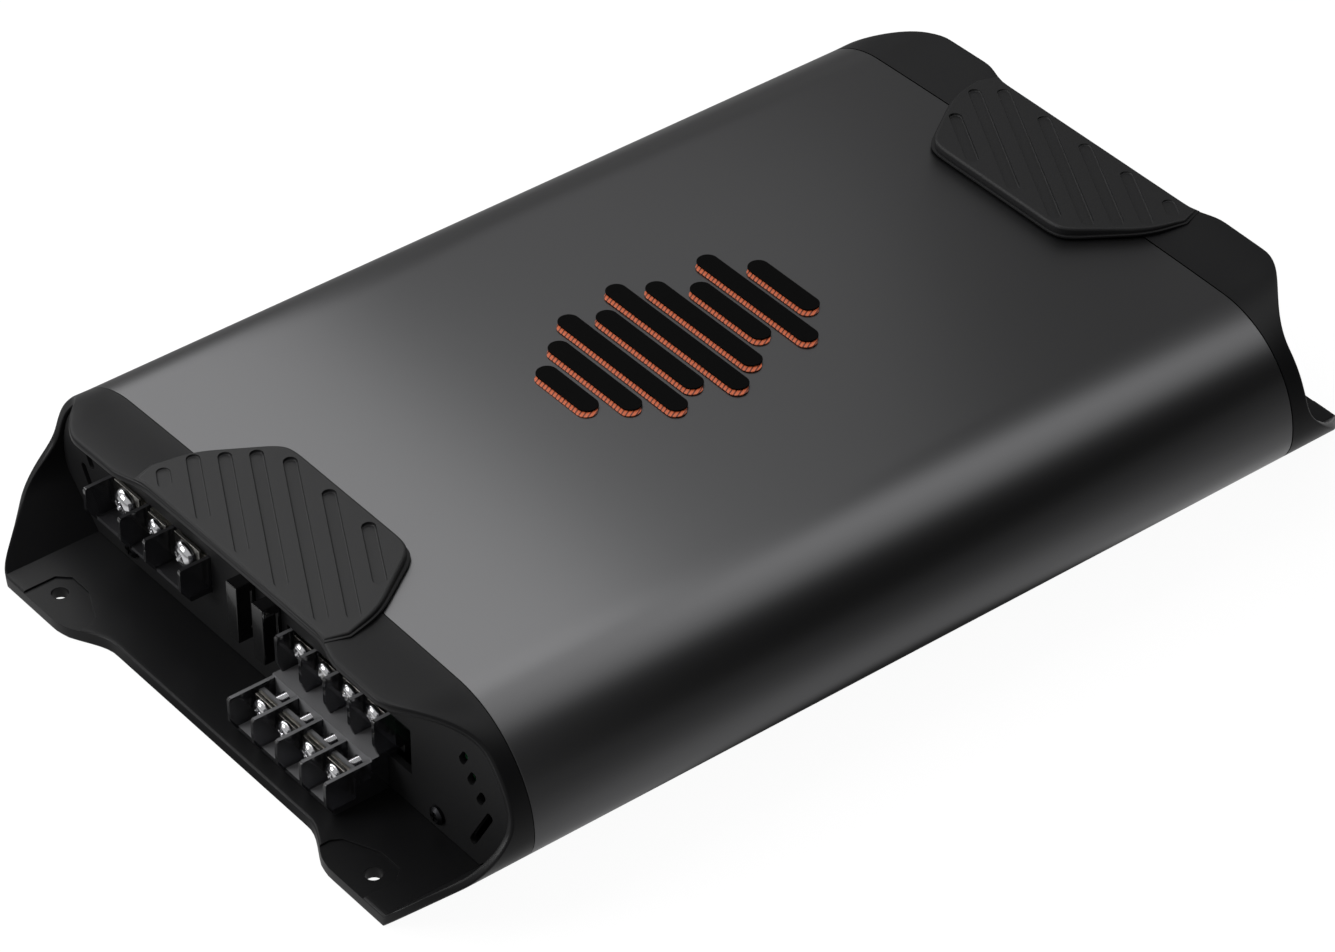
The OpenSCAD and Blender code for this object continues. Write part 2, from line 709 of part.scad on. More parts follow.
// ---------- fuses ----------
module fuse(i) {
    tip = panel_x + fuse_out;
    root = tip - fuse_body_depth;
    color("black") front_end() translate([0, -fuse_y(i), fuse_z]) {
        difference() {
            box([root, -fuse_thickness / 2, -fuse_width / 2], [tip, fuse_thickness / 2, fuse_width / 2]);
            // hollow face between the two rims
            for (s = [-1, 1])
                box([tip - 5, s > 0 ? fuse_thickness / 2 - 0.7 : -fuse_thickness / 2 - 1, -fuse_width / 2 + 3],
                    [tip - 1, s > 0 ? fuse_thickness / 2 + 1 : -fuse_thickness / 2 + 0.7, fuse_width / 2 - 3]);
        }
        for (s = [-1, 1])
            box([root - blade_length, -blade_thickness / 2, s * blade_spread - blade_width / 2],
                [root + 1, blade_thickness / 2, s * blade_spread + blade_width / 2]);
    }
}
module fuse_1() { fuse(0); }
module fuse_2() { fuse(1); }
module fuse_holder() {
    margin = 2;
    deep = panel_back - holder_depth - gap;
    root = panel_x + fuse_out - fuse_body_depth;
    color("dimgray") front_end() difference() {
        union() {
            box([deep, -fuse_y(0) - fuse_thickness / 2 - margin, fuse_z - fuse_width / 2 - 1],
                [panel_back - gap, -fuse_y(1) + fuse_thickness / 2 + margin, fuse_z + fuse_width / 2 + margin]);
            box([deep, -fuse_y(0), board_top + seat_lift], [deep + 8, -fuse_y(1), fuse_z - fuse_width / 2]);
        }
        for (i = [0:1]) translate([0, -fuse_y(i), fuse_z]) {
            box([root - gap, -fuse_thickness / 2 - gap, -fuse_width / 2 - gap],
                [panel_x, fuse_thickness / 2 + gap, fuse_width / 2 + gap]);
            for (s = [-1, 1])
                box([root - blade_length - gap, -blade_thickness / 2 - gap, s * blade_spread - blade_width / 2 - gap],
                    [root + 1, blade_thickness / 2 + gap, s * blade_spread + blade_width / 2 + gap]);
        }
    }
}

// ---------- circuit board ----------
module standoff_places() {
    both_sides() for (x = standoff_xs) translate([x, standoff_y, 0]) children();
}
module circuit_board() {
    color("darkgreen") difference() {
        box([-board_half_length, -board_half_width, board_z], [board_half_length, board_half_width, board_top]);
        standoff_places() translate([0, 0, board_z - 1]) cylinder(r = board_screw_r + gap, h = board_thickness + 2);
    }
}
module standoffs() {
    color("gold") standoff_places() difference() {
        translate([0, 0, base_top]) cylinder(r = standoff_r, h = board_z - base_top, $fn = 6);
        translate([0, 0, base_top + 2]) cylinder(r = board_screw_r + running_fit, h = board_z);
    }
}
module board_screws() {
    color("silver") standoff_places() {
        translate([0, 0, board_z - 6]) cylinder(r = board_screw_r, h = 6 + board_thickness);
        translate([0, 0, board_top]) rotate([0, -90, 0]) pan_head(2.8, 1.6, 1);
    }
}
module ring(r, hole, height, round_r) {
    rotate_extrude() {
        translate([hole + round_r, 0]) square([r - hole - 2 * round_r, height]);
        translate([hole, round_r]) square([r - hole, height - 2 * round_r]);
        for (x = [hole + round_r, r - round_r], z = [round_r, height - round_r]) translate([x, z]) circle(r = round_r);
    }
}
module transformer_core() {
    color("peru") translate([core_x, 0, board_top + seat_lift]) ring(core_r, core_hole_r, core_height, 5);
}
module output_coils() {
    color("peru") for (k = [-1.5:1:1.5])
        translate([coil_x, k * coil_pitch, board_top + seat_lift]) ring(coil_r, coil_hole_r, coil_height, 2);
}
module filter_capacitors() {
    color("midnightblue") for (i = [0:1], k = [-1:1])
        translate([capacitor_x + i * capacitor_pitch, k * capacitor_pitch, board_top + seat_lift]) difference() {
            cylinder(r = capacitor_r, h = capacitor_height);
            translate([0, 0, 3]) rotate_extrude() translate([capacitor_r, 0]) circle(r = 0.7);
        }
}
transistor_xs = [for (k = [0:transistor_count - 1]) (k - (transistor_count - 1) / 2) * transistor_pitch];
module transistors() {
    color("black") both_sides() for (x = transistor_xs) translate([x, 0, 0]) {
        box([-transistor_width / 2, rib_face - seat_lift - transistor_thickness, transistor_foot],
            [transistor_width / 2, rib_face - seat_lift, transistor_foot + transistor_height]);
        for (k = [-1:1])
            box([k * leg_spread - leg_width / 2, board_half_width - 4, board_top + seat_lift],
                [k * leg_spread + leg_width / 2, rib_face - seat_lift - transistor_thickness + 1, board_top + seat_lift + 0.8]);
        for (k = [-1:1])
            box([k * leg_spread - leg_width / 2, rib_face - seat_lift - transistor_thickness, board_top + seat_lift],
                [k * leg_spread + leg_width / 2, rib_face - seat_lift - transistor_thickness + 1, transistor_foot + 1]);
    }
}
bar_screw_xs = [for (k = [0:transistor_count - 2]) transistor_xs[k] + transistor_pitch / 2];
module clamp_bars() {
    color("silver") both_sides() difference() {
        box([transistor_xs[0] - 9, bar_face - bar_thickness, bar_z],
            [transistor_xs[transistor_count - 1] + 9, bar_face, bar_z + bar_height]);
        for (x = bar_screw_xs) translate([x, bar_face + 1, bar_z + bar_height / 2]) rotate([90, 0, 0])
            cylinder(r = board_screw_r + running_fit, h = bar_thickness + 2);
    }
}
module clamp_screw_places() {
    both_sides() for (x = bar_screw_xs) translate([x, rib_face, bar_z + bar_height / 2]) children();
}
module clamp_bar_screws() {
    color("silver") clamp_screw_places() {
        translate([0, bar_face - bar_thickness - rib_face, 0]) rotate([-90, 0, 0])
            cylinder(r = board_screw_r, h = rib_face - bar_face + bar_thickness + rib_thickness - 1.5);
        translate([0, bar_face - bar_thickness - rib_face, 0]) rotate([0, 0, -90]) pan_head(2.8, 1.8, 1.1);
    }
}

// ---------- controls ----------
module knob_places() {
    for (k = [-1:1]) translate([0, knob_mid_y + k * knob_pitch, knob_z]) children();
}
module knob(k) {
    r = knob_diameter / 2;
    color("black") translate([0, knob_mid_y + k * knob_pitch, knob_z]) difference() {
        union() {
            x_rod(r, panel_back - gap - 1, panel_x + knob_out - 0.5);
            rotate([0, 90, 0]) translate([0, 0, panel_x + knob_out - 0.5]) cylinder(r1 = r, r2 = r - 0.5, h = 0.5);
            x_rod(r * 0.5, panel_back - knob_shaft_in, panel_back);
        }
        box([panel_x + knob_out - 1.2, -0.5, -r * 0.2], [panel_x + knob_out + 1, 0.5, r + 1]);
    }
}
module level_knob_1() { knob(-1); }
module crossover_knob() { knob(0); }
module level_knob_2() { knob(1); }
module slide_nub(k) {
    y = switch_ys[k];
    color("black") {
        translate([panel_x + 1 - switch_nub.x - 1, y - switch_nub.y / 2, switch_z - switch_nub.z / 2])
            cube([switch_nub.x + 1, switch_nub.y, switch_nub.z]);
        translate([panel_back - 2.5, y - switch_nub.y / 2 - 1, switch_z - switch_nub.z / 2 - 0.6])
            cube([1.5, switch_nub.y + 2, switch_nub.z + 1.2]);
        translate([panel_back - 2, y - switch_nub.y / 2, switch_z - switch_nub.z / 2])
            cube([2.5, switch_nub.y, switch_nub.z]);
    }
}
module crossover_switch() { slide_nub(0); }
module input_switch() { slide_nub(1); }
module control_bodies() {
    deep = panel_back - gap - 12;
    color("dimgray") {
        for (k = [-1:1]) translate([0, knob_mid_y + k * knob_pitch, 0]) difference() {
            box([deep, -pot_half, knob_z - pot_half], [panel_back - gap - 1.4, pot_half, knob_z + pot_half]);
            translate([0, 0, knob_z]) x_rod(knob_diameter / 4 + running_fit, panel_back - knob_shaft_in - gap, panel_back);
        }
        for (k = [-1:1]) translate([0, knob_mid_y + k * knob_pitch, 0])
            box([deep, -1, board_top + seat_lift], [deep + 2, 1, knob_z - pot_half + 1]);
        for (y = switch_ys) difference() {
            box([panel_back - gap - switch_case.x, y - switch_case.y / 2, switch_z - switch_case.z / 2],
                [panel_back - gap, y + switch_case.y / 2, switch_z + switch_case.z / 2]);
            box([panel_back - 3, y - (switch_nub.y + switch_travel) / 2 - 1 - gap, switch_z - switch_nub.z / 2 - 0.6 - gap],
                [panel_back + 1, y + (switch_nub.y + switch_travel) / 2 + 1 + gap, switch_z + switch_nub.z / 2 + 0.6 + gap]);
        }
        for (y = switch_ys)
            box([panel_back - gap - switch_case.x + 1, y - 2, board_top + seat_lift],
                [panel_back - gap - 4, y + 2, switch_z - switch_case.z / 2 + 1]);
    }
}
module jack_places() {
    for (s = [-0.5, 0.5], z = jack_zs) translate([0, jack_mid_y + s * jack_pitch, z]) children();
}
module input_jacks() {
    color("darkred") difference() {
        union() {
            // the case that stands on the board, and one turned insert for each jack in front of it
            box([panel_back - gap - jack_case_depth, jack_mid_y - jack_pitch, board_top + seat_lift],
                [jack_back - gap, jack_mid_y + jack_pitch, jack_zs[1] + jack_pitch / 2]);
            jack_places() x_rod(jack_diameter / 2 - jack_wall, jack_back, panel_x + jack_out - 0.6);
            jack_places() x_rod(jack_diameter / 2 + 1.3, jack_back, panel_back - gap);
        }
        jack_places() x_rod(jack_bore_r, panel_x - 4, panel_x + jack_out + 1);
    }
}
module jack_shells() {
    color("gold") jack_places() difference() {
        x_rod(jack_diameter / 2, panel_back, panel_x + jack_out);
        x_rod(jack_diameter / 2 - jack_wall + running_fit, panel_back - 1, panel_x + jack_out + 1);
    }
}
module high_level_socket() {
    half_y = socket_size.y / 2;
    half_z = socket_size.z / 2;
    color("ivory") translate([0, socket_y, socket_z]) difference() {
        union() {
            box([panel_back - socket_size.x, -half_y, -half_z], [panel_x + 0.8, half_y, half_z]);
            box([panel_back - socket_size.x, -half_y + 2, board_top + seat_lift - socket_z],
                [panel_back - gap - 3, half_y - 2, -half_z + 1]);
        }
        difference() {
            box([panel_back - socket_size.x + 2, -half_y + 1.2, -half_z + 1.2], [panel_x + 2, half_y - 1.2, half_z - 1.2]);
            for (k = [-1.5:1:1.5], s = [-1, 1]) translate([0, k * 3.8, s * 2.1])
                box([panel_back - socket_size.x, -0.4, -0.4], [panel_x - 4.7, 0.4, 0.4]);
        }
    }
}
module status_lens() {
    color("deepskyblue") translate([0, lens_y, lens_z]) {
        x_rod(lens_r, panel_back - 2, panel_x + 0.4);
        x_rod(lens_r + 0.8, panel_back - 2, panel_back - gap);
    }
}

top_cover();
bottom_plate();
front_hood();
rear_hood();
front_grip_pad();
rear_grip_pad();
terminal_panel();
control_panel();
power_terminal_block();
power_contacts();
speaker_terminal_block();
speaker_contacts();
power_screw_1();
remote_screw();
power_screw_2();
power_clamp_1();
remote_clamp();
power_clamp_2();
for (i = [1:2 * speaker_columns]) speaker_screw(i);
for (i = [1:2 * speaker_columns]) speaker_clamp(i);
emblem_face();
emblem_edge();
fuse_holder();
fuse_1();
fuse_2();
circuit_board();
standoffs();
board_screws();
transformer_core();
filter_capacitors();
output_coils();
transistors();
clamp_bars();
clamp_bar_screws();
input_jacks();
jack_shells();
high_level_socket();
control_bodies();
level_knob_1();
level_knob_2();
crossover_knob();
crossover_switch();
input_switch();
status_lens();
panel_screws();
base_screws();
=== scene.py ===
import json
import math

import bpy
from mathutils import Matrix, Vector

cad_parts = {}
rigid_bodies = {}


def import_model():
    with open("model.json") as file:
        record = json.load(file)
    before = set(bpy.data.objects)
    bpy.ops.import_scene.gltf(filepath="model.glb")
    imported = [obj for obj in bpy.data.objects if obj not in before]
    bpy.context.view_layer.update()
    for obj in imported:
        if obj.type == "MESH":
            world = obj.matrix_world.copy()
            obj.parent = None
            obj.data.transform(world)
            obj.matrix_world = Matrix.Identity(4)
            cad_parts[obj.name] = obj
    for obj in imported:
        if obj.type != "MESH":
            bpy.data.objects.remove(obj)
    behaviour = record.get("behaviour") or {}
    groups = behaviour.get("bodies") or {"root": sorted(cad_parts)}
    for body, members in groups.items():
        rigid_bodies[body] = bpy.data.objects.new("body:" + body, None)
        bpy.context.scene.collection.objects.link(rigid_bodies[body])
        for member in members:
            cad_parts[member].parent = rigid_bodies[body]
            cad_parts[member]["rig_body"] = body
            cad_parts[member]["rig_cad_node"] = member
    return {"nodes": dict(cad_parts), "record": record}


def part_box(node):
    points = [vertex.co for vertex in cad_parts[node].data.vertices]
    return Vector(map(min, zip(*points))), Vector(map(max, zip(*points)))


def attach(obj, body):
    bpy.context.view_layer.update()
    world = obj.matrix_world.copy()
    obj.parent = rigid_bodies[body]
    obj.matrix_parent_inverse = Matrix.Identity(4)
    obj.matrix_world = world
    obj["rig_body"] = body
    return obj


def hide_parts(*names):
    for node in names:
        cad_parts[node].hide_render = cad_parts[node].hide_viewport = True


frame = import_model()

MM = 0.001
WAVE = math.pi / 10      # a wave texture of this scale has bands 1 m apart
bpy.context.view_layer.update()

# ---------------------------------------------------------------- sizes in mm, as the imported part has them
HALF = 134.0            # half length of the cover between its seams
TOP = 57.4              # crown of the cover
WIDTH = 213.0
CROWN_R, CORNER_R, BEND_R = 2500.0, 32.5, 13.0
COVER_WALL, HOOD_WALL, HOOD_FLOOR = 4.6, 2.4, 4.2
CORNER_Y = WIDTH / 2 - CORNER_R
BEND_Y = WIDTH / 2 - BEND_R
CROWN_Z = TOP - CROWN_R
CORNER_Z = CROWN_Z + math.sqrt((CROWN_R - CORNER_R) ** 2 - CORNER_Y ** 2)
TOP_REACH, SHOULDER_REACH, SIDE_REACH, FLOOR_REACH, EAR_REACH = 19.4, 22.4, 6.2, 29.0, 36.5
SEAM = 0.22             # gap at the seam between cover and hood
NEAR = 0.01             # points closer than this are in one place
FIN = 1.2               # thickness of a barrier fin
# the pad slopes down to the hood's edge by PAD_DROP and the floors of its grooves by GROOVE_DROP
PAD_INNER_X, PAD_DROP, GROOVE_DEEP, GROOVE_DROP = 114.3, 2.0, 1.1, 1.35
TONGUE_TOP, PAD_TOP = 58.45, 60.8
EAR_HOLE_X, EAR_HOLE_Y, EAR_HOLE_R, EAR_SINK = 162.15, 73.55, 2.5, 0.6
GROOVES, GROOVE_PITCH, GROOVE_WIDTH, GROOVE_ANGLE, GROOVE_SHIFT = 7, 8.5, 4.0, 61.6, -0.58


# ---------------------------------------------------------------- small helpers
def ease(t):
    t = min(1.0, max(0.0, t))
    return t * t * (3 - 2 * t)


def mix(a, b, t):
    """From a to b as t goes from 0 to 1, easing in and out."""
    return a + (b - a) * ease(t)


def only(*objects):
    """Selects these objects alone and makes the first one active."""
    if bpy.context.object and bpy.context.object.mode != "OBJECT":
        bpy.ops.object.mode_set(mode="OBJECT")
    bpy.ops.object.select_all(action="DESELECT")
    for one in objects:
        one.select_set(True)
    bpy.context.view_layer.objects.active = objects[0]


def edit(piece):
    only(piece)
    bpy.ops.object.mode_set(mode="EDIT")


def done():
    bpy.ops.object.mode_set(mode="OBJECT")


def pick(piece, kind, wanted):
    """Selects the faces or edges of a piece, in edit mode, that wanted() accepts."""
    bpy.ops.mesh.select_mode(type=kind)
    bpy.ops.mesh.select_all(action="DESELECT")
    bpy.ops.object.mode_set(mode="OBJECT")
    mesh = piece.data
    if kind == "FACE":
        for face in mesh.polygons:
            face.select = wanted(face.center / MM, face.normal)
    else:
        for edge in mesh.edges:
            a, b = (mesh.vertices[v].co / MM for v in edge.vertices)
            edge.select = wanted(a, b)
    bpy.ops.object.mode_set(mode="EDIT")


def modified(piece, kind, **settings):
    """Adds one modifier with its settings and applies it."""
    only(piece)
    modifier = piece.modifiers.new(kind, kind)
    for key, value in settings.items():
        setattr(modifier, key, value)
    bpy.ops.object.modifier_apply(modifier=modifier.name)
    return piece


def placed(piece):
    """Moves an object's place into its mesh."""
    only(piece)
    bpy.ops.object.transform_apply(location=True, rotation=True, scale=True)
    return piece


def smooth(piece, degrees=32, flat_first=False):
    """Smooth shading up to an angle; flat_first keeps large flat faces flat beside an eased edge."""
    only(piece)
    bpy.ops.object.shade_smooth_by_angle(angle=math.radians(degrees))
    if flat_first:
        modified(piece, "WEIGHTED_NORMAL", keep_sharp=True, weight=50)
    return piece


def tidy(piece, distance=0.002):
    edit(piece)
    bpy.ops.mesh.select_all(action="SELECT")
    bpy.ops.mesh.remove_doubles(threshold=distance * MM)
    bpy.ops.mesh.normals_make_consistent(inside=False)
    done()
    return piece


def outline(name, points, low, high):
    """A flat shape through points (x, y), raised from low to high, all in mm."""
    bpy.ops.mesh.primitive_circle_add(vertices=len(points), radius=MM, fill_type="NGON")
    piece = bpy.context.object
    piece.name = name
    for vertex, (x, y) in zip(piece.data.vertices, points):
        vertex.co = Vector((x, y, low)) * MM
    edit(piece)
    bpy.ops.mesh.select_all(action="SELECT")
    bpy.ops.mesh.extrude_region_move(TRANSFORM_OT_translate={"value": (0, 0, (high - low) * MM)})
    bpy.ops.mesh.select_all(action="SELECT")
    bpy.ops.mesh.normals_make_consistent(inside=False)
    done()
    return piece


def woven(name, rows):
    """A grid laid over rows of points, both ways round closed."""
    across, along = len(rows[0]) + 1, len(rows) + 1
    bpy.ops.mesh.primitive_grid_add(x_subdivisions=across - 1, y_subdivisions=along - 1, size=MM)
    piece = bpy.context.object
    piece.name = name
    for index, vertex in enumerate(piece.data.vertices):
        row, column = divmod(index, across)
        vertex.co = rows[row % len(rows)][column % len(rows[0])] * MM
    return tidy(piece)


def cut(piece, *cutters):
    for cutter in cutters:
        modified(piece, "BOOLEAN", object=cutter, operation="DIFFERENCE", solver="EXACT")
        bpy.data.objects.remove(cutter)
    return piece


def turned_copy(piece, name):
    """The same piece for the other end: turned half round about the middle."""
    twin = piece.copy()
    twin.data = piece.data.copy()
    twin.name = name
    bpy.context.scene.collection.objects.link(twin)
    twin.data.transform(Matrix.Rotation(math.pi, 4, "Z"))
    return twin


def settle(piece, body, slot_name, *nodes):
    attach(piece, body)
    if nodes:
        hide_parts(*nodes)
    finish = finishes.get(slot_name)
    piece.data.materials.clear()
    piece.data.materials.append(finish)
    return piece


# ---------------------------------------------------------------- materials
def srgb(code):
    """An sRGB hex colour as linear red, green and blue."""
    values = [int(code[i:i + 2], 16) / 255 for i in (1, 3, 5)]
    return [v / 12.92 if v <= 0.04045 else ((v + 0.055) / 1.055) ** 2.4 for v in values] + [1.0]


def node(tree, kind, settings=None, links=None, stops=()):
    """Adds a shader node, sets its values, links its inputs and, on a colour ramp, places its stops."""
    made = tree.nodes.new(kind)
    for key, value in (settings or {}).items():
        if key in made.inputs.keys() or isinstance(key, int):
            made.inputs[key].default_value = value
        else:
            setattr(made, key, value)
    for key, source in (links or {}).items():
        tree.links.new(source, made.inputs[key])
    if stops:
        bands = made.color_ramp.elements
        bands[0].position, bands[0].color = stops[0]
        bands[-1].position, bands[-1].color = stops[-1]
        for position, colour in stops[1:-1]:
            bands.new(position).color = colour
    return made


def new_material(name, colour, metallic=0.0, roughness=0.5, **extra):
    material = bpy.data.materials.new(name)
    material.use_nodes = True
    material.node_tree.nodes.clear()
    tree = material.node_tree
    shader = node(tree, "ShaderNodeBsdfPrincipled", {"Base Color": srgb(colour), "Metallic": metallic,
                                                    "Roughness": roughness})
    for key, value in extra.items():
        shader.inputs[key.replace("_", " ").title().replace("Ior", "IOR")].default_value = value
    node(tree, "ShaderNodeOutputMaterial", links={"Surface": shader.outputs[0]})
    place = node(tree, "ShaderNodeTexCoord").outputs["Object"]
    return material, tree, shader, place


def grey(value):
    return [value, value, value, 1.0]


CLOUD = 1000 / 22       # size of the broad clouds of colour, mm
FINE_SHARE = 0.65       # share of the fine grain against the broad clouds
GRAIN_FROM, GRAIN_TO = 0.3, 0.72


def grained(name, light, dark, grain, bump, roughness, spread, metallic=0.0, **extra):
    """A finish with a fine grain in colour, roughness and surface; grain is its size in mm."""
    material, tree, shader, place = new_material(name, light, metallic, roughness, **extra)
    fine = node(tree, "ShaderNodeTexNoise", {"Scale": 1 / (grain * MM), "Detail": 3.0, "Roughness": 0.6},
                {"Vector": place}).outputs["Fac"]
    broad = node(tree, "ShaderNodeTexNoise", {"Scale": 1 / (CLOUD * MM), "Detail": 2.0},
                 {"Vector": place}).outputs["Fac"]
    blend = node(tree, "ShaderNodeMath", {"operation": "MULTIPLY_ADD", 1: FINE_SHARE}, {0: fine}).outputs[0]
    both = node(tree, "ShaderNodeMath", {"operation": "MULTIPLY_ADD", 1: 1 - FINE_SHARE},
                {0: broad, 2: blend}).outputs[0]
    for socket, low, high in (("Base Color", srgb(dark), srgb(light)),
                              ("Roughness", grey(roughness - spread), grey(roughness + spread))):
        tone = node(tree, "ShaderNodeValToRGB", links={"Fac": both},
                    stops=[(GRAIN_FROM, low), (GRAIN_TO, high)])
        tree.links.new(tone.outputs[0], shader.inputs[socket])
    bumped = node(tree, "ShaderNodeBump", {"Strength": bump, "Distance": grain * MM / 2}, {"Height": fine})
    tree.links.new(bumped.outputs[0], shader.inputs["Normal"])
    return material


finishes = {
    # bead-blasted, dark grey anodised aluminium: an even satin with a very fine sparkle
    "cover_aluminium": grained("anodised_blasted_aluminium", "#5c5c5d", "#575758", 0.45, 0.04, 0.3, 0.02,
                               metallic=1.0),
    # black powder coat on steel sheet: fine orange peel
    "base_steel": grained("black_powder_coated_steel", "#1b1b1c", "#151516", 0.8, 0.25, 0.5, 0.06),
    # moulded ABS with a spark-eroded satin texture
    "hood_plastic": grained("satin_moulded_abs", "#161617", "#121213", 0.35, 0.1, 0.34, 0.04,
                            specular_ior_level=0.17),
    # soft-touch elastomer skin, more matt than the hood
    "pad_rubber": grained("matt_soft_touch_elastomer", "#131314", "#0f0f10", 0.4, 0.2, 0.46, 0.05,
                          specular_ior_level=0.3),
    # stove enamel on sheet: nearly matt, with a low sheen
    "panel_black": grained("black_painted_panel_steel", "#121213", "#0e0e0f", 0.5, 0.15, 0.5, 0.05,
                           specular_ior_level=0.25),
    # polycarbonate moulded glossy, smoked nearly black: sharp glints along its thin edges
    "terminal_plastic": grained("smoked_polycarbonate", "#505054", "#444448", 2.0, 0.02, 0.05, 0.01,
                                transmission_weight=0.85, coat_weight=0.5, coat_roughness=0.03),
    # the thick body of the terminal blocks, where the same plastic looks solid
    "power_body": grained("solid_smoked_polycarbonate", "#303032", "#28282a", 1.2, 0.03, 0.26, 0.04),
    "speaker_body": grained("light_smoked_polycarbonate", "#7a7a7c", "#6f6f71", 1.2, 0.03, 0.3, 0.04),
    # nickel over rolled brass: a warm, slightly blurred shine
    "contact_plate": grained("nickel_plated_brass_contact", "#b9b5ab", "#8d897f", 0.6, 0.08, 0.25, 0.08,
                             metallic=1.0),
    # bright chromate over steel, with turning marks too fine to see one by one
    "screw_chrome": grained("bright_plated_steel_screw", "#dcdcde", "#b5b5b8", 0.5, 0.03, 0.09, 0.03,
                            metallic=1.0),
    # stamped washers, duller than the screws
    "clamp_nickel": grained("nickel_plated_clamp", "#8f8d88", "#6c6a65", 0.5, 0.06, 0.2, 0.05, metallic=1.0),
    # screen print, dead matt beside the metal
    "emblem_black": grained("matt_black_print", "#050505", "#030303", 0.5, 0.05, 0.8, 0.04,
                            specular_ior_level=0.05),
    # filled nylon: dry and grey
    "holder_plastic": grained("moulded_grey_nylon", "#2a2a2c", "#202022", 0.6, 0.1, 0.5, 0.05),
    # polished mould: a clear, narrow highlight down each edge
    "fuse_plastic": grained("glossy_black_fuse_housing", "#0c0c0d", "#070708", 1.5, 0.03, 0.14, 0.03,
                            coat_weight=0.4),
    # turned bar, soft yellow shine
    "standoff_brass": grained("turned_brass", "#c9a35a", "#a8843f", 0.3, 0.1, 0.28, 0.06, metallic=1.0),
    # zinc plate: cool grey with a soft shine
    "screw_steel": grained("zinc_plated_steel", "#a9abad", "#85878a", 0.5, 0.06, 0.3, 0.06, metallic=1.0),
    # shrunk sleeve: smooth, waxy blue
    "capacitor_sleeve": grained("dark_blue_shrink_sleeve", "#1c2340", "#141a33", 1.2, 0.05, 0.3, 0.05),
    # moulded epoxy: matt and slightly sandy
    "transistor_plastic": grained("moulded_epoxy", "#1b1b1c", "#131314", 0.3, 0.2, 0.6, 0.06),
    # moulded polypropylene: even red with a low gloss
    "jack_plastic": grained("moulded_red_insulator", "#7a1416", "#5f0e10", 0.8, 0.05, 0.3, 0.05),
    # flash of gold on turned brass
    "jack_gold": grained("gold_plated_shell", "#d9b25a", "#b48c3a", 0.4, 0.05, 0.2, 0.05, metallic=1.0),
    # undyed nylon: milky off-white
    "socket_nylon": grained("natural_nylon", "#cfc9b4", "#bdb69e", 0.6, 0.08, 0.42, 0.05),
    # moulded ABS with a light texture for the fingers
    "knob_plastic": grained("moulded_black_knob", "#1a1a1b", "#131314", 0.4, 0.12, 0.4, 0.05),
    # black oxide on steel: dark with an oily sheen
    "screw_black": grained("black_oxide_steel", "#2a2a2c", "#1d1d1f", 0.4, 0.08, 0.34, 0.06, metallic=1.0),
}


def hatched_print():
    """Orange print crossed by fine dark lines on a slant, 1.3 mm apart."""
    material, tree, shader, place = new_material("orange_hatched_print", "#c8603a", 0.0, 0.42)
    turned = node(tree, "ShaderNodeMapping", {"Rotation": (0, 0, math.radians(62))}, {"Vector": place})
    lines = node(tree, "ShaderNodeTexWave", {"Scale": WAVE / (1.3 * MM), "Distortion": 0.0},
                 {"Vector": turned.outputs[0]})
    inked = node(tree, "ShaderNodeValToRGB", links={"Fac": lines.outputs["Fac"]},
                 stops=[(0.1, srgb("#5a2414")), (0.4, srgb("#d2673e"))])
    tree.links.new(inked.outputs[0], shader.inputs["Base Color"])
    return material


def wound_copper():
    """Enamelled copper wire in turns 1.2 mm apart, wound round a ring."""
    material, tree, shader, place = new_material("wound_enamelled_copper", "#b0622e", 0.9, 0.3)
    lines = node(tree, "ShaderNodeTexWave", {"Scale": WAVE / (1.2 * MM), "Distortion": 1.5, "Detail": 2.0,
                                            "bands_direction": "DIAGONAL"}, {"Vector": place}).outputs["Fac"]
    turns = node(tree, "ShaderNodeValToRGB", links={"Fac": lines},
                 stops=[(0.0, srgb("#5e2c12")), (1.0, srgb("#c9743a"))])
    tree.links.new(turns.outputs[0], shader.inputs["Base Color"])
    bumped = node(tree, "ShaderNodeBump", {"Strength": 0.6, "Distance": 0.3 * MM}, {"Height": lines})
    tree.links.new(bumped.outputs[0], shader.inputs["Normal"])
    return material


def printed_board():
    """Green solder resist over copper tracks on glass-epoxy board."""
    material, tree, shader, place = new_material("green_solder_resist", "#1d5a34", 0.0, 0.32)
    cells = node(tree, "ShaderNodeTexVoronoi", {"Scale": 140.0, "distance": "CHEBYCHEV"},
                 {"Vector": place}).outputs["Distance"]
    tracks = node(tree, "ShaderNodeValToRGB", links={"Fac": cells},
                  stops=[(0.35, srgb("#2a7444")), (0.5, srgb("#15482a"))])
    tree.links.new(tracks.outputs[0], shader.inputs["Base Color"])
    bumped = node(tree, "ShaderNodeBump", {"Strength": 0.3, "Distance": 0.05 * MM}, {"Height": cells})
    tree.links.new(bumped.outputs[0], shader.inputs["Normal"])
    return material


def lit_lens():
    """A clear blue lens over a small lamp."""
    material, tree, shader, place = new_material("clear_blue_lens", "#2f6fe0", 0.0, 0.08)
    cloud = node(tree, "ShaderNodeTexNoise", {"Scale": 700.0}, {"Vector": place}).outputs["Fac"]
    depth = node(tree, "ShaderNodeValToRGB", links={"Fac": cloud},
                 stops=[(0.35, srgb("#2358c8")), (0.65, srgb("#5a95f5"))])
    tree.links.new(depth.outputs[0], shader.inputs["Base Color"])
    shader.inputs["Coat Weight"].default_value = 0.5
    return material


finishes["emblem_orange"] = hatched_print()
finishes["core_winding"] = wound_copper()
finishes["board"] = printed_board()
finishes["lens_blue"] = lit_lens()


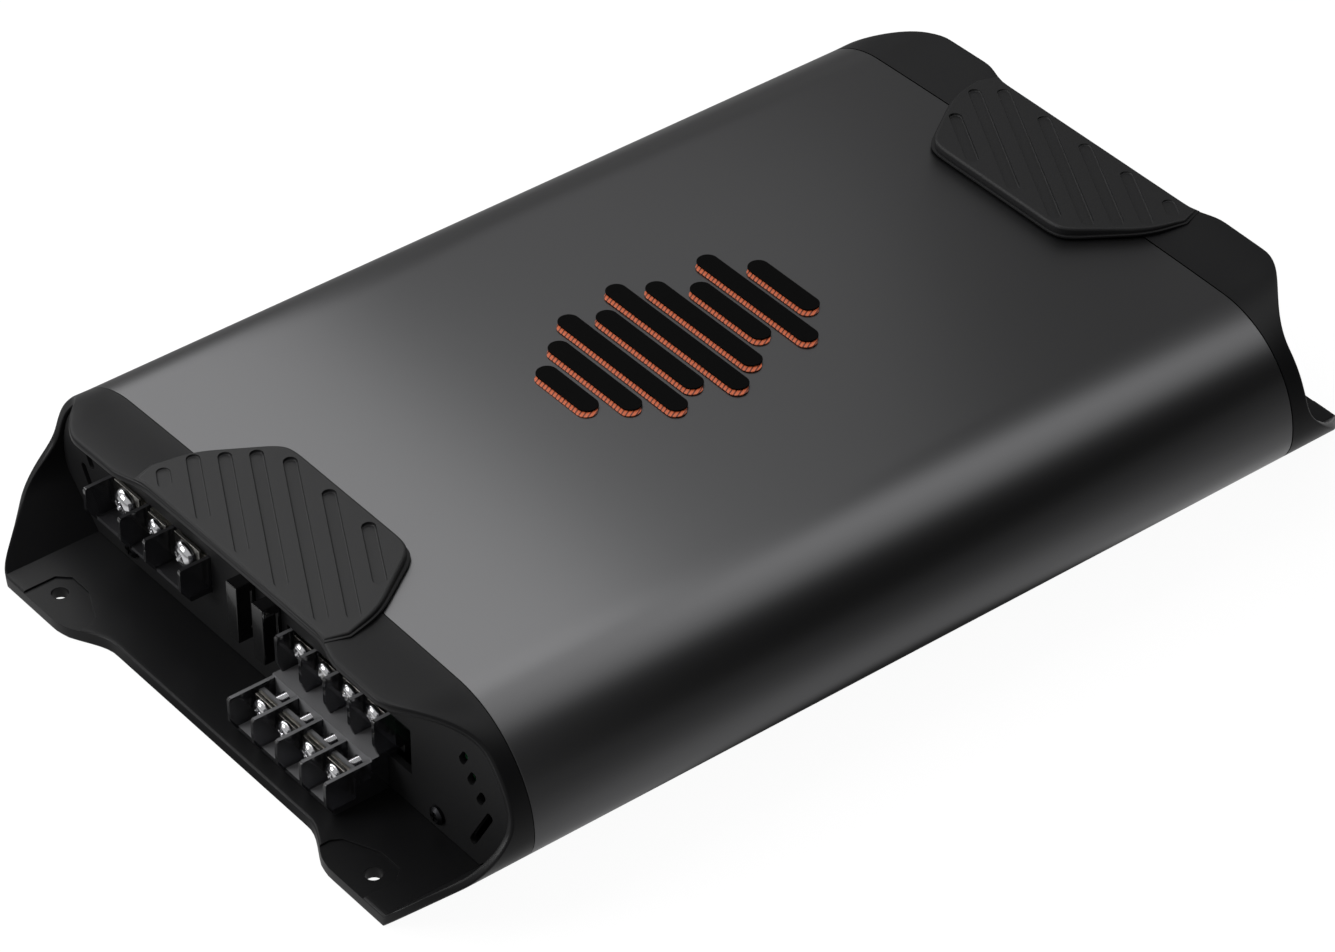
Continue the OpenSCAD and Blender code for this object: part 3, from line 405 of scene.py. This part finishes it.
# ---------------------------------------------------------------- cross section, mm
def arc(centre_y, centre_z, radius, start, end, count):
    return [(centre_y + radius * math.cos(a), centre_z + radius * math.sin(a))
            for a in (start + (end - start) * k / count for k in range(count + 1))]


def half_section(inset, floor, floor_steps=40):
    """Points (y, z) from the middle of the floor, out round the side and up to the middle of the crown."""
    slant_steps, bend_steps, corner_steps, crown_steps = 14, 8, 34, 40
    foot = BEND_Y + (BEND_R - inset) * math.sqrt(2) - CORNER_Z + floor
    lean = math.asin(CORNER_Y / (CROWN_R - CORNER_R))
    points = [(foot * k / floor_steps, floor) for k in range(floor_steps)]
    bend = arc(BEND_Y, CORNER_Z, BEND_R - inset, -math.pi / 4, 0, bend_steps)
    points += [(foot + (bend[0][0] - foot) * k / slant_steps, floor + (bend[0][1] - floor) * k / slant_steps)
               for k in range(slant_steps)]
    points += bend[:-1]
    points += arc(CORNER_Y, CORNER_Z, CORNER_R - inset, 0, math.pi / 2 - lean, corner_steps)[:-1]
    points += arc(0, CROWN_Z, CROWN_R - inset, math.pi / 2 - lean, math.pi / 2, crown_steps)
    return points


def ring(half):
    """The whole closed outline from one half of it."""
    return half + [(-y, z) for y, z in half[-2:0:-1]]


# ---------------------------------------------------------------- aluminium cover
def cover():
    """The extrusion: its skin, the two ribs inside and the lips that hold the bottom plate."""
    opening, lip, groove, rail, level_to = 81.5, 76.0, 2.2, 7.9, 87.9
    rib_in, rib_out, rib_foot, root_in, root_out = 82.0, 86.0, 19.9, 52.6, 52.0
    outer = [p for p in half_section(0, 0) if p[1] > 0.001 or p[0] > level_to]
    inner = [p for p in half_section(COVER_WALL, 0) if p[1] > rail]
    half = [(opening, 0)] + outer
    skin = half + [(-y, z) for y, z in reversed(half[:-1])]
    inside, ribbed = [], False
    for y, z in inner:
        if y < rib_out and z > CORNER_Z and not ribbed:
            inside += [(rib_out, root_out), (rib_out, rib_foot), (rib_in, rib_foot), (rib_in, root_in)]
            ribbed = True
        if not (rib_in <= y <= rib_out and z > CORNER_Z):
            inside.append((y, z))
    rail_y = inner[0][0] - (inner[0][1] - rail)
    lips = [(opening, groove), (lip, groove), (lip, rail), (rail_y, rail)]
    inside = lips + inside
    back = [(-y, z) for y, z in inside] + inside[-2::-1]
    piece = outline("cover_shell", skin + back, 0, 2 * HALF)
    # the outline is raised along Z, so it is turned to run along X
    piece.data.transform(Matrix(((0, 0, 1, -HALF * MM), (1, 0, 0, 0), (0, 1, 0, 0), (0, 0, 0, 1))))
    tidy(piece)
    modified(piece, "BEVEL", width=0.3 * MM, segments=2, limit_method="ANGLE", angle_limit=math.radians(60))
    return smooth(piece)


# ---------------------------------------------------------------- moulded end hoods
SHOULDER_FROM, SHOULDER_RUN = 39, 13     # where the top edge steps out to its shoulders
FALL_FROM, FALL_RUN = CORNER_Y - 6, 29   # where it falls back to the sides
ROOF_Z = CORNER_Z + 12                   # the roof is what lies above this
EAR_FROM, EAR_RUN = 45, 20               # where the floor steps out to the ears
SIDE_SLOPE, SIDE_SOFT, CAP_SOFT = 1.163, 2.5, 1.6
LEVEL_Y = 60                             # the underside's edge follows the floor alone within this
SWELL, SWELL_DIP = 1.25, 0.35            # rise of the roof's edge, and how much less it is in the middle
DIP_TO, DIP_RUN = 36, 14
SWELL_TO, SWELL_RUN = 76, 24


def top_edge(y):
    out = mix(TOP_REACH, SHOULDER_REACH, (abs(y) - SHOULDER_FROM) / SHOULDER_RUN)
    return mix(out, SIDE_REACH, (abs(y) - FALL_FROM) / FALL_RUN)


def side_edge(z):
    line = EAR_REACH + 2 - SIDE_SLOPE * z - SIDE_REACH
    return SIDE_REACH + SIDE_SOFT * math.log(1 + math.exp(line / SIDE_SOFT))


def mouth(y, z):
    """How far the hood reaches past the cover at a point of its section."""
    if z > ROOF_Z:
        return top_edge(y)
    cap = mix(FLOOR_REACH, EAR_REACH, (abs(y) - EAR_FROM) / EAR_RUN)
    if z <= 5 * NEAR and abs(y) <= LEVEL_Y:
        return cap
    return -CAP_SOFT * math.log(math.exp(-side_edge(z) / CAP_SOFT) + math.exp(-cap / CAP_SOFT))


def roof_lift(y, z, share):
    """The roof swells a little towards its edge, most at the two shoulders."""
    if z < ROOF_Z:
        return 0.0
    rise = SWELL - SWELL_DIP * (1 - ease((abs(y) - DIP_TO) / DIP_RUN))
    return rise * ease(share) * (1 - ease((abs(y) - SWELL_TO) / SWELL_RUN))


def hood(name):
    """The moulding: rows go out along its outer skin, round the rim and back along its inner skin."""
    outer, inner = ring(half_section(0, 0)), ring(half_section(HOOD_WALL, HOOD_FLOOR))
    rim_round, steps, rim_steps = 0.75, 16, 3
    shares = [1 - (1 - k / steps) ** 1.2 for k in range(steps + 1)]
    turns = [math.pi / 2 * k / rim_steps for k in range(rim_steps + 1)]
    # each row: on the inner skin or not, share of the way out, how far inward and forward the rim has turned
    rows = [(False, share, 0, 0) for share in shares]
    rows += [(False, 1.0, 1 - math.cos(turn), math.sin(turn)) for turn in turns[1:]]
    rows += [(True, 1.0, 1 - math.cos(turn), math.sin(turn)) for turn in reversed(turns)]
    rows += [(True, share, 0, 0) for share in shares[-2::-2]]
    laid = []
    for inside, share, inward, forward in rows:
        line = []
        for o, i in zip(outer, inner):
            depth = inward * rim_round / math.dist(o, i)
            if inside:
                depth = 1 - depth
            x = HALF + SEAM + (mouth(*o) - SEAM - rim_round) * share + rim_round * forward
            y, z = (o[axis] + (i[axis] - o[axis]) * depth for axis in (0, 1))
            line.append(Vector((x, y, z + roof_lift(*o, share))))
        laid.append(line)
    piece = woven(name, laid)
    # sunk flats and holes in the two ears
    cutters = []
    for s in (-1, 1):
        bpy.ops.mesh.primitive_cylinder_add(vertices=48, radius=EAR_HOLE_R * MM, depth=12 * MM,
                                            location=(EAR_HOLE_X * MM, s * EAR_HOLE_Y * MM, HOOD_FLOOR * MM))
        cutters.append(placed(bpy.context.object))
        flat = ear_flat() if s > 0 else [(x, -y) for x, y in reversed(ear_flat())]
        cutters.append(outline("sunk", flat, HOOD_FLOOR - EAR_SINK, HOOD_FLOOR + 2))
    cut(piece, *cutters)
    edit(piece)
    pick(piece, "EDGE", ear_brim)
    bpy.ops.mesh.bevel(offset=0.25 * MM, segments=2, affect="EDGES", clamp_overlap=True)
    done()
    return smooth(piece, 34, flat_first=True)


def ear_brim(a, b):
    """Is an edge on the brim of a sunk flat or of an ear hole?"""
    for spot in (a, b):
        on_flat = abs(spot.z - (HOOD_FLOOR - EAR_SINK)) < NEAR or abs(spot.z - HOOD_FLOOR) < NEAR
        if not on_flat or not (by_ear_hole(spot) or flat_side(spot)):
            return False
    return abs(a.z - b.z) < NEAR and (a.z > HOOD_FLOOR - NEAR or by_ear_hole(a))


def by_ear_hole(spot):
    return math.dist((spot.x, abs(spot.y)), (EAR_HOLE_X, EAR_HOLE_Y)) < EAR_HOLE_R + 5 * NEAR


def flat_side(spot):
    """Does a point lie on the outline of a sunk flat?"""
    points = ear_flat()
    for k in range(len(points) - 1):
        a, b = Vector(points[k]), Vector(points[k + 1])
        here = Vector((spot.x, abs(spot.y)))
        share = max(0.0, min(1.0, (here - a).dot(b - a) / (b - a).length_squared))
        if (a + (b - a) * share - here).length < 3 * NEAR:
            return True
    return False


def ear_flat():
    """Outline of the flat sunk round an ear hole."""
    x0, y0, out = EAR_HOLE_X - 6.2, EAR_HOLE_Y, EAR_REACH + HALF + 5
    return [(out, y0 + 6.3), (x0 + 3.5, y0 + 6.3), (x0, y0 + 3), (x0, y0 - 5), (x0 + 4.8, y0 - 15.5),
            (x0 + 7.7, y0 - 17.3), (out, y0 - 17.3)]


# ---------------------------------------------------------------- grip pads and the tongue below
def rounded(points, radius, count=6):
    """An outline with its corners rounded; radius is one length for each point."""
    out = []
    size = len(points)
    for k, point in enumerate(points):
        before, here, after = (Vector(points[(k + d) % size]) for d in (-1, 0, 1))
        r = radius[k]
        if r <= 0:
            out.append(tuple(here))
            continue
        a, b = (here + way.normalized() * min(r, way.length * 0.45) for way in (before - here, after - here))
        for j in range(count + 1):
            t = j / count
            spot = a * (1 - t) ** 2 + here * 2 * t * (1 - t) + b * t * t
            out.append(tuple(spot))
    return out


# half widths of the pad: at its inner edge, at the next corner, at the seam and towards the hood's edge
PAD_INNER_Y, PAD_CORNER_Y, PAD_SEAM_Y, PAD_OUTER_Y = 25.5, 29.5, 42.5, 45.3
PAD_CORNER_X, PAD_SEAM_X = PAD_INNER_X + 2.3, HALF + 1.3
PAD_SLOPE = PAD_DROP / (TOP_REACH + HALF - PAD_INNER_X)
GROOVE_INSET = 3.9      # from the pad's edge to the middle of a groove's end


def pad_shape(grow, short):
    """The pad's outline seen from above; short keeps it back from the hood's edge."""
    side = [(PAD_INNER_X - grow, PAD_INNER_Y + grow / 2), (PAD_CORNER_X - grow, PAD_CORNER_Y + grow),
            (PAD_SEAM_X, PAD_SEAM_Y + grow), (HALF + 13, PAD_OUTER_Y + grow)]
    left = rounded([(x, -y) for x, y in side] + [(x, y) for x, y in reversed(side)],
                   [5, 4, 6, 0, 0, 6, 4, 5])
    edge_y = 43 + grow
    front = [(HALF + top_edge(y) - short, y) for y in (edge_y * (1 - 2 * k / 30) for k in range(31))]
    # from the low inner corner, along the low side, up the front edge, and back
    half = len(left) // 2
    return left[:half] + list(reversed(front)) + left[half:]


def grip_pad(name):
    """The pad, sloping down to the hood's edge, with its slanted grooves."""
    piece = outline(name, pad_shape(0, 0.5), TONGUE_TOP, PAD_TOP)
    for vertex in piece.data.vertices:
        vertex.co.z -= (vertex.co.x - PAD_INNER_X * MM) * PAD_SLOPE
    middle = (TONGUE_TOP + PAD_TOP) / 2
    edit(piece)
    pick(piece, "EDGE", lambda a, b: min(p.z + (p.x - PAD_INNER_X) * PAD_SLOPE for p in (a, b)) > middle)
    bpy.ops.mesh.bevel(offset=0.9 * MM, segments=4, affect="EDGES", clamp_overlap=False)
    done()
    middle_x = (PAD_INNER_X + HALF + TOP_REACH) / 2
    angle = math.radians(GROOVE_ANGLE)
    along = Vector((math.cos(angle), math.sin(angle)))
    step, reach = 0.25, 200
    cutters = []
    for k in range(GROOVES):
        shift = (k - (GROOVES - 1) / 2 + GROOVE_SHIFT) * GROOVE_PITCH / math.cos(angle)
        line = [Vector((middle_x, shift)) + along * t * step for t in range(-reach, reach + 1)]
        spots = [spot for spot in line if inside_pad(spot)]
        if spots:
            cutters.append(slot_tool(spots[0], spots[-1]))
    cut(piece, *cutters)
    modified(piece, "BEVEL", width=0.22 * MM, segments=2, limit_method="ANGLE",
             angle_limit=math.radians(55), use_clamp_overlap=True)
    return smooth(piece, 40, flat_first=True)


def inside_pad(point):
    """Is a point far enough inside the pad for the middle of a groove's end?"""
    x, y = point
    if x < PAD_INNER_X + GROOVE_INSET or x > HALF + top_edge(y) - GROOVE_INSET - 0.6:
        return False
    rise = (PAD_SEAM_Y - PAD_CORNER_Y) / (PAD_SEAM_X - PAD_CORNER_X)
    slant = PAD_CORNER_Y + (x - PAD_CORNER_X) * rise
    return abs(y) < min(slant, PAD_OUTER_Y - 0.8) - GROOVE_INSET * 1.08


def slot_tool(a, b):
    """A round-ended tool that cuts one groove with a softly rounded floor."""
    direction = (b - a).normalized()
    normal = Vector((-direction.y, direction.x))
    radius = GROOVE_WIDTH / 2
    turn = [(math.cos(t), math.sin(t)) for t in (math.pi * k / 10 for k in range(11))]
    ring_points = [b + direction * radius * s + normal * -radius * c for c, s in turn]
    ring_points += [a - direction * radius * s + normal * radius * c for c, s in turn]
    # the floor of a groove slopes less than the pad, so that it fades towards the hood's edge
    tool = outline("slot_tool", [tuple(p) for p in ring_points], PAD_TOP - GROOVE_DEEP, PAD_TOP + 3)
    for vertex in tool.data.vertices:
        vertex.co.z -= (vertex.co.x - PAD_INNER_X * MM) * PAD_SLOPE * GROOVE_DROP / PAD_DROP
    edit(tool)
    pick(tool, "FACE", lambda c, n: n.z < -0.9)
    bpy.ops.mesh.bevel(offset=0.45 * MM, segments=3, affect="EDGES")
    done()
    return tool


def tongue(name):
    """The hood's tongue over the cover, which carries the pad."""
    piece = outline(name, pad_shape(0.7, 0.35), TOP + 0.15, TONGUE_TOP - 0.1)
    edit(piece)
    pick(piece, "EDGE", lambda a, b: abs(a.z - b.z) < NEAR)
    bpy.ops.mesh.bevel(offset=0.25 * MM, segments=2, affect="EDGES", clamp_overlap=False)
    done()
    return smooth(piece, 40)


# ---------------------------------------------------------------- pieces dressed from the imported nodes
def dressed(name, width):
    """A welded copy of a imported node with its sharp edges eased."""
    source = frame["nodes"][name]
    piece = source.copy()
    piece.data = source.data.copy()
    piece.name = name + "_finished"
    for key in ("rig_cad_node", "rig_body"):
        if key in piece:
            del piece[key]
    piece.parent = None
    bpy.context.scene.collection.objects.link(piece)
    edit(piece)
    bpy.ops.mesh.select_all(action="SELECT")
    bpy.ops.mesh.remove_doubles(threshold=0.002 * MM)
    bpy.ops.mesh.dissolve_limited(angle_limit=math.radians(0.5))
    done()
    modified(piece, "BEVEL", width=width * MM, segments=2, limit_method="ANGLE",
             angle_limit=math.radians(50), use_clamp_overlap=True)
    return smooth(piece, 38, flat_first=True)


# ---------------------------------------------------------------- terminal screws
def lathe(name, profile, steps=40):
    """A closed turned shape about X from points (x, radius), first and last on the axis."""
    bpy.ops.mesh.primitive_circle_add(vertices=len(profile), radius=MM, fill_type="NOTHING")
    piece = bpy.context.object
    piece.name = name
    for vertex, (x, radius) in zip(piece.data.vertices, profile):
        vertex.co = Vector((x, 0, radius)) * MM
    edit(piece)
    pick(piece, "EDGE", lambda a, b: a.z < 0.001 and b.z < 0.001)
    bpy.ops.mesh.delete(type="EDGE")
    bpy.ops.mesh.select_all(action="SELECT")
    bpy.ops.mesh.spin(steps=steps, angle=2 * math.pi, center=(0, 0, 0), axis=(1, 0, 0))
    done()
    return tidy(piece)


def pan_head_screw(name, thread, pitch, head, rise, shank):
    """A domed pan head screw along X, its head towards -X and the underside of its head at x = 0."""
    thread_r, rim, point, crest, steps = thread / 2, 0.2, 0.4, 0.45, 10
    profile = [(shank, 0.0), (shank, thread_r - point)]
    for k in range(int(shank / pitch) - 1):
        x = shank - point - k * pitch
        profile += [(x, thread_r), (x - pitch / 2, thread_r - pitch * crest)]
    profile += [(0.15, thread_r - 0.1), (0.0, thread_r), (0.0, head - rim), (-rim, head)]
    for k in range(1, steps + 1):
        turn = math.pi / 2 * k / steps
        radius = head * (FLAT_TOP + (1 - FLAT_TOP) * math.cos(turn)) if k < steps else 0.0
        profile.append((-rise * math.sin(turn) - rim, radius))
    piece = lathe(name, profile)
    cutters = []
    for quarter in (0, 1):
        bpy.ops.mesh.primitive_cube_add(size=MM, location=(-(rise + rim) * MM, 0, 0))
        arm = bpy.context.object
        arm.scale = (rise * RECESS_DEPTH, head * RECESS_LENGTH, head * RECESS_WIDTH)
        placed(arm)
        edit(arm)
        pick(arm, "FACE", lambda c, n: n.x > 0.9)
        bpy.ops.transform.resize(value=(1, 0.55, 0.6))
        done()
        arm.data.transform(Matrix.Rotation(quarter * math.pi / 2 + 0.35, 4, "X"))
        cutters.append(arm)
    cut(piece, *cutters)
    modified(piece, "BEVEL", width=0.1 * MM, segments=2, limit_method="ANGLE", angle_limit=math.radians(50),
             use_clamp_overlap=True)
    return smooth(piece, 35)


# thread, pitch and height of the head, mm; the remote cell takes the small screw
SCREWS = {"power_screw": (5.0, 0.8, 3.0), "speaker_screw": (3.0, 0.5, 2.3)}
FLAT_TOP = 0.35         # share of a head's radius that its dome leaves flat
RECESS_DEPTH, RECESS_LENGTH, RECESS_WIDTH = 1.3, 1.15, 0.26


def fitted_screws():
    """Puts a finished screw in place of each packed terminal screw."""
    patterns = {}
    for name in slots:
        if slots[name] != "screw_chrome":
            continue
        low, high = (Vector(corner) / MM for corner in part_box(name))
        kind = "power_screw" if name.startswith("power") else "speaker_screw"
        thread, pitch, rise = SCREWS[kind]
        if kind not in patterns:
            patterns[kind] = pan_head_screw(kind, thread, pitch, (high.z - low.z) / 2 - 0.02, rise - 0.45,
                                            high.x - low.x - rise - 0.1)
        screw = patterns[kind].copy()
        screw.data = patterns[kind].data.copy()
        screw.name = name + "_turned"
        bpy.context.scene.collection.objects.link(screw)
        turn = (sum(map(ord, name)) % 7) * 0.23
        middle = Vector((low.x + rise, (low.y + high.y) / 2, (low.z + high.z) / 2)) * MM
        screw.data.transform(Matrix.Translation(middle) @ Matrix.Rotation(turn, 4, "X"))
        settle(screw, bodies[name], "screw_chrome", name)
    for pattern in patterns.values():
        bpy.data.objects.remove(pattern)


def thick_body(piece):
    """Gives a terminal block's thick body its solid look and leaves its thin fins clear."""
    slack, bay_x, level, broad = 0.1, HALF + 5, 0.9, 4 * MM * MM
    mesh = piece.data
    mesh.materials.append(finishes["power_body" if piece.name.startswith("power") else "speaker_body"])
    outer = max(abs(v.co.x) for v in mesh.vertices) / MM
    fins = {round(v.co.y / MM, 1) for v in mesh.vertices if abs(v.co.x) / MM > outer - 2 * slack}
    for face in mesh.polygons:
        near_fin = any(abs(face.center.y / MM - fin) < FIN / 2 + slack for fin in fins)
        on_fin = near_fin and abs(face.center.x) / MM > bay_x
        if not on_fin or abs(face.normal.z) > level and face.area > broad:
            face.material_index = 1


bodies = {name: body for body, names in frame["record"]["behaviour"]["bodies"].items() for name in names}
slots = {part["node"]: part["material_slot"] for part in frame["record"]["subparts"]}

settle(cover(), "amplifier", "cover_aluminium", "top_cover")

rear = hood("hood_rear_end")
front = turned_copy(rear, "hood_front_end")
rear_tongue = tongue("tongue_rear_end")
front_tongue = turned_copy(rear_tongue, "tongue_front_end")
rear_pad = grip_pad("pad_rear_end")
front_pad = turned_copy(rear_pad, "pad_front_end")
settle(rear, "amplifier", "hood_plastic", "rear_hood")
settle(front, "amplifier", "hood_plastic", "front_hood")
settle(rear_tongue, "amplifier", "hood_plastic")
settle(front_tongue, "amplifier", "hood_plastic")
settle(rear_pad, "amplifier", "pad_rubber", "rear_grip_pad")
settle(front_pad, "amplifier", "pad_rubber", "front_grip_pad")

# how wide each piece's sharp edges are eased, mm
EASED = {"terminal_panel": 0.2, "control_panel": 0.2, "power_terminal_block": 0.3,
         "speaker_terminal_block": 0.3, "fuse_1": 0.4, "fuse_2": 0.4, "emblem_face": 0.12,
         "emblem_edge": 0.08, "power_contacts": 0.12, "speaker_contacts": 0.12, "high_level_socket": 0.2,
         "bottom_plate": 0.2, "input_jacks": 0.15, "jack_shells": 0.2}
CLAMP_EASE = 0.18
EASED.update({name: CLAMP_EASE for name in slots if "_clamp" in name})
for name, width in EASED.items():
    piece = settle(dressed(name, width), bodies[name], slots[name], name)
    if name.endswith("terminal_block"):
        thick_body(piece)

fitted_screws()

for name, packed in frame["nodes"].items():
    if not packed.hide_render:
        packed.data.materials.clear()
        packed.data.materials.append(finishes[slots[name]])

# ---------------------------------------------------------------- floor, light and camera
FLOOR_GLOW_SEEN, FLOOR_SPAN = 0.95, 1.0
ROUNDNESS = 0.63        # width against length of the painted rings of shadow and light on the floor
# painted contact shadow and pool of light on the floor, for all but camera rays: how brightly the floor
# glows at each distance in metres
FLOOR_PAINTED_SHADOW_RINGS = [(0.0, 0.02), (0.108, 0.02), (0.122, 0.6), (0.14, 0.62), (0.19, 0.25), (0.4, 0.12),
               (FLOOR_SPAN, 0.08)]
SOFT_LIGHT, BACK_LIGHT = 0.3, 0.5
# light against the lean from straight up towards -Y, in degrees
SKY_BANDS = [(-180, 0.4), (-100, 0.3), (-50, 0.2), (-20, 0.3), (2, 1.7), (20, 1.2), (38, 0.03), (75, 0.02),
             (95, 0.3), (180, 0.4)]
bpy.ops.mesh.primitive_plane_add(size=14, location=(0, 0, 0))
floor = bpy.context.object
floor.name = "studio_floor"
paper, tree, shader, place = new_material("white_studio_paper", "#f4f4f4", 0.0, 0.9)
fibre = node(tree, "ShaderNodeTexNoise", {"Scale": 3.0}, {"Vector": place}).outputs["Fac"]
sheet = node(tree, "ShaderNodeValToRGB", links={"Fac": fibre},
             stops=[(0.3, srgb("#5c5c5c")), (0.7, srgb("#616161"))])
tree.links.new(sheet.outputs[0], shader.inputs["Base Color"])
seen = node(tree, "ShaderNodeLightPath").outputs["Is Camera Ray"]
# on the part, the floor shows a painted contact shadow close to it, a painted pool of light a hand's breadth
# away and is dim far off
squeezed = node(tree, "ShaderNodeMapping", {"Scale": (ROUNDNESS, 1, 1)}, {"Vector": place}).outputs[0]
away = node(tree, "ShaderNodeVectorMath", {"operation": "LENGTH"}, {0: squeezed}).outputs["Value"]
span = node(tree, "ShaderNodeMapRange", {"From Min": 0.0, "From Max": FLOOR_SPAN},
            {"Value": away}).outputs[0]
painted_shadow_rings = node(tree, "ShaderNodeValToRGB", links={"Fac": span},
             stops=[(metres / FLOOR_SPAN, grey(light)) for metres, light in FLOOR_PAINTED_SHADOW_RINGS])
# to the camera the floor glows evenly; to every other ray it carries the painted shadow and light rings
floor_glow_and_painted_shadow = node(tree, "ShaderNodeMixRGB", {2: grey(FLOOR_GLOW_SEEN)}, {0: seen, 1: painted_shadow_rings.outputs[0]})
shader.inputs["Emission Color"].default_value = srgb("#ffffff")
shader.inputs["Specular IOR Level"].default_value = 0.0
tree.links.new(floor_glow_and_painted_shadow.outputs[0], shader.inputs["Emission Strength"])
floor.data.materials.append(paper)


def studio_air():
    """A white backdrop to the eye; on the part, a strip of light along its top and darkness beside it."""
    world = bpy.data.worlds.new("studio_air")
    bpy.context.scene.world = world
    world.use_nodes = True
    tree = world.node_tree
    tree.nodes.clear()
    sky = node(tree, "ShaderNodeTexCoord").outputs["Generated"]
    way = node(tree, "ShaderNodeSeparateXYZ", links={0: sky})
    left = node(tree, "ShaderNodeMath", {"operation": "MULTIPLY", 1: -1.0}, {0: way.outputs["Y"]}).outputs[0]
    lean = node(tree, "ShaderNodeMath", {"operation": "ARCTAN2"}, {0: left, 1: way.outputs["Z"]}).outputs[0]
    share = node(tree, "ShaderNodeMapRange", {"From Min": -math.pi, "From Max": math.pi},
                 {"Value": lean}).outputs[0]
    strip = node(tree, "ShaderNodeValToRGB", links={"Fac": share},
                 stops=[(0.5 + degrees / 360, grey(light)) for degrees, light in SKY_BANDS])
    strip.color_ramp.interpolation = "EASE"
    back = node(tree, "ShaderNodeMapRange", {"From Min": -0.5, "From Max": 0.2},
                {"Value": way.outputs["X"]}).outputs[0]
    glossy = node(tree, "ShaderNodeMixRGB", {1: grey(BACK_LIGHT)}, {0: back, 2: strip.outputs[0]}).outputs[0]
    path = node(tree, "ShaderNodeLightPath")
    soft = node(tree, "ShaderNodeMixRGB", {1: grey(SOFT_LIGHT)},
                {0: path.outputs["Is Glossy Ray"], 2: glossy}).outputs[0]
    colour = node(tree, "ShaderNodeMixRGB", {2: grey(1.0)}, {0: path.outputs["Is Camera Ray"], 1: soft})
    background = node(tree, "ShaderNodeBackground", links={"Color": colour.outputs[0]})
    node(tree, "ShaderNodeOutputWorld", links={"Surface": background.outputs[0]})


studio_air()


def softbox(name, place, aim, width, height, power):
    bpy.ops.object.light_add(type="AREA", location=place)
    lamp = bpy.context.object
    lamp.name = name
    lamp.data.shape = "RECTANGLE"
    lamp.data.size, lamp.data.size_y = width, height
    lamp.data.energy = power
    lamp.visible_camera = False
    lamp.rotation_euler = (Vector(aim) - Vector(place)).to_track_quat("-Z", "Y").to_euler()
    return lamp


softbox("far_left_softbox", (-0.14, 0.34, 0.48), (-0.13, 0.0, 0.057), 0.5, 0.8, 2.3)
softbox("far_middle_softbox", (0.22, 0.28, 0.5), (0.0, 0.0, 0.057), 0.3, 0.7, 0.26)
softbox("mouth_softbox", (-0.7, 0.25, 0.3), (-0.15, 0.0, 0.02), 0.3, 0.3, 2.0)

bpy.context.scene.view_settings.view_transform = "Standard"
CAMERA_AZIMUTH, CAMERA_ELEVATION, CAMERA_DISTANCE, CAMERA_LENS = -38.53, 38.32, 1.5541, 150.49
CAMERA_AIM = Vector((-0.01397, -0.01051, 0.02389))
azimuth, elevation = math.radians(CAMERA_AZIMUTH), math.radians(CAMERA_ELEVATION)
outward = Vector((math.sin(azimuth) * math.cos(elevation), -math.cos(azimuth) * math.cos(elevation),
                  math.sin(elevation)))
bpy.ops.object.camera_add(location=CAMERA_AIM + outward * CAMERA_DISTANCE)
camera = bpy.context.object
camera.rotation_euler = (-outward).to_track_quat("-Z", "Y").to_euler()
camera.data.lens = CAMERA_LENS
camera.data.sensor_width = 36.0
bpy.context.scene.camera = camera

bpy.context.view_layer.update()
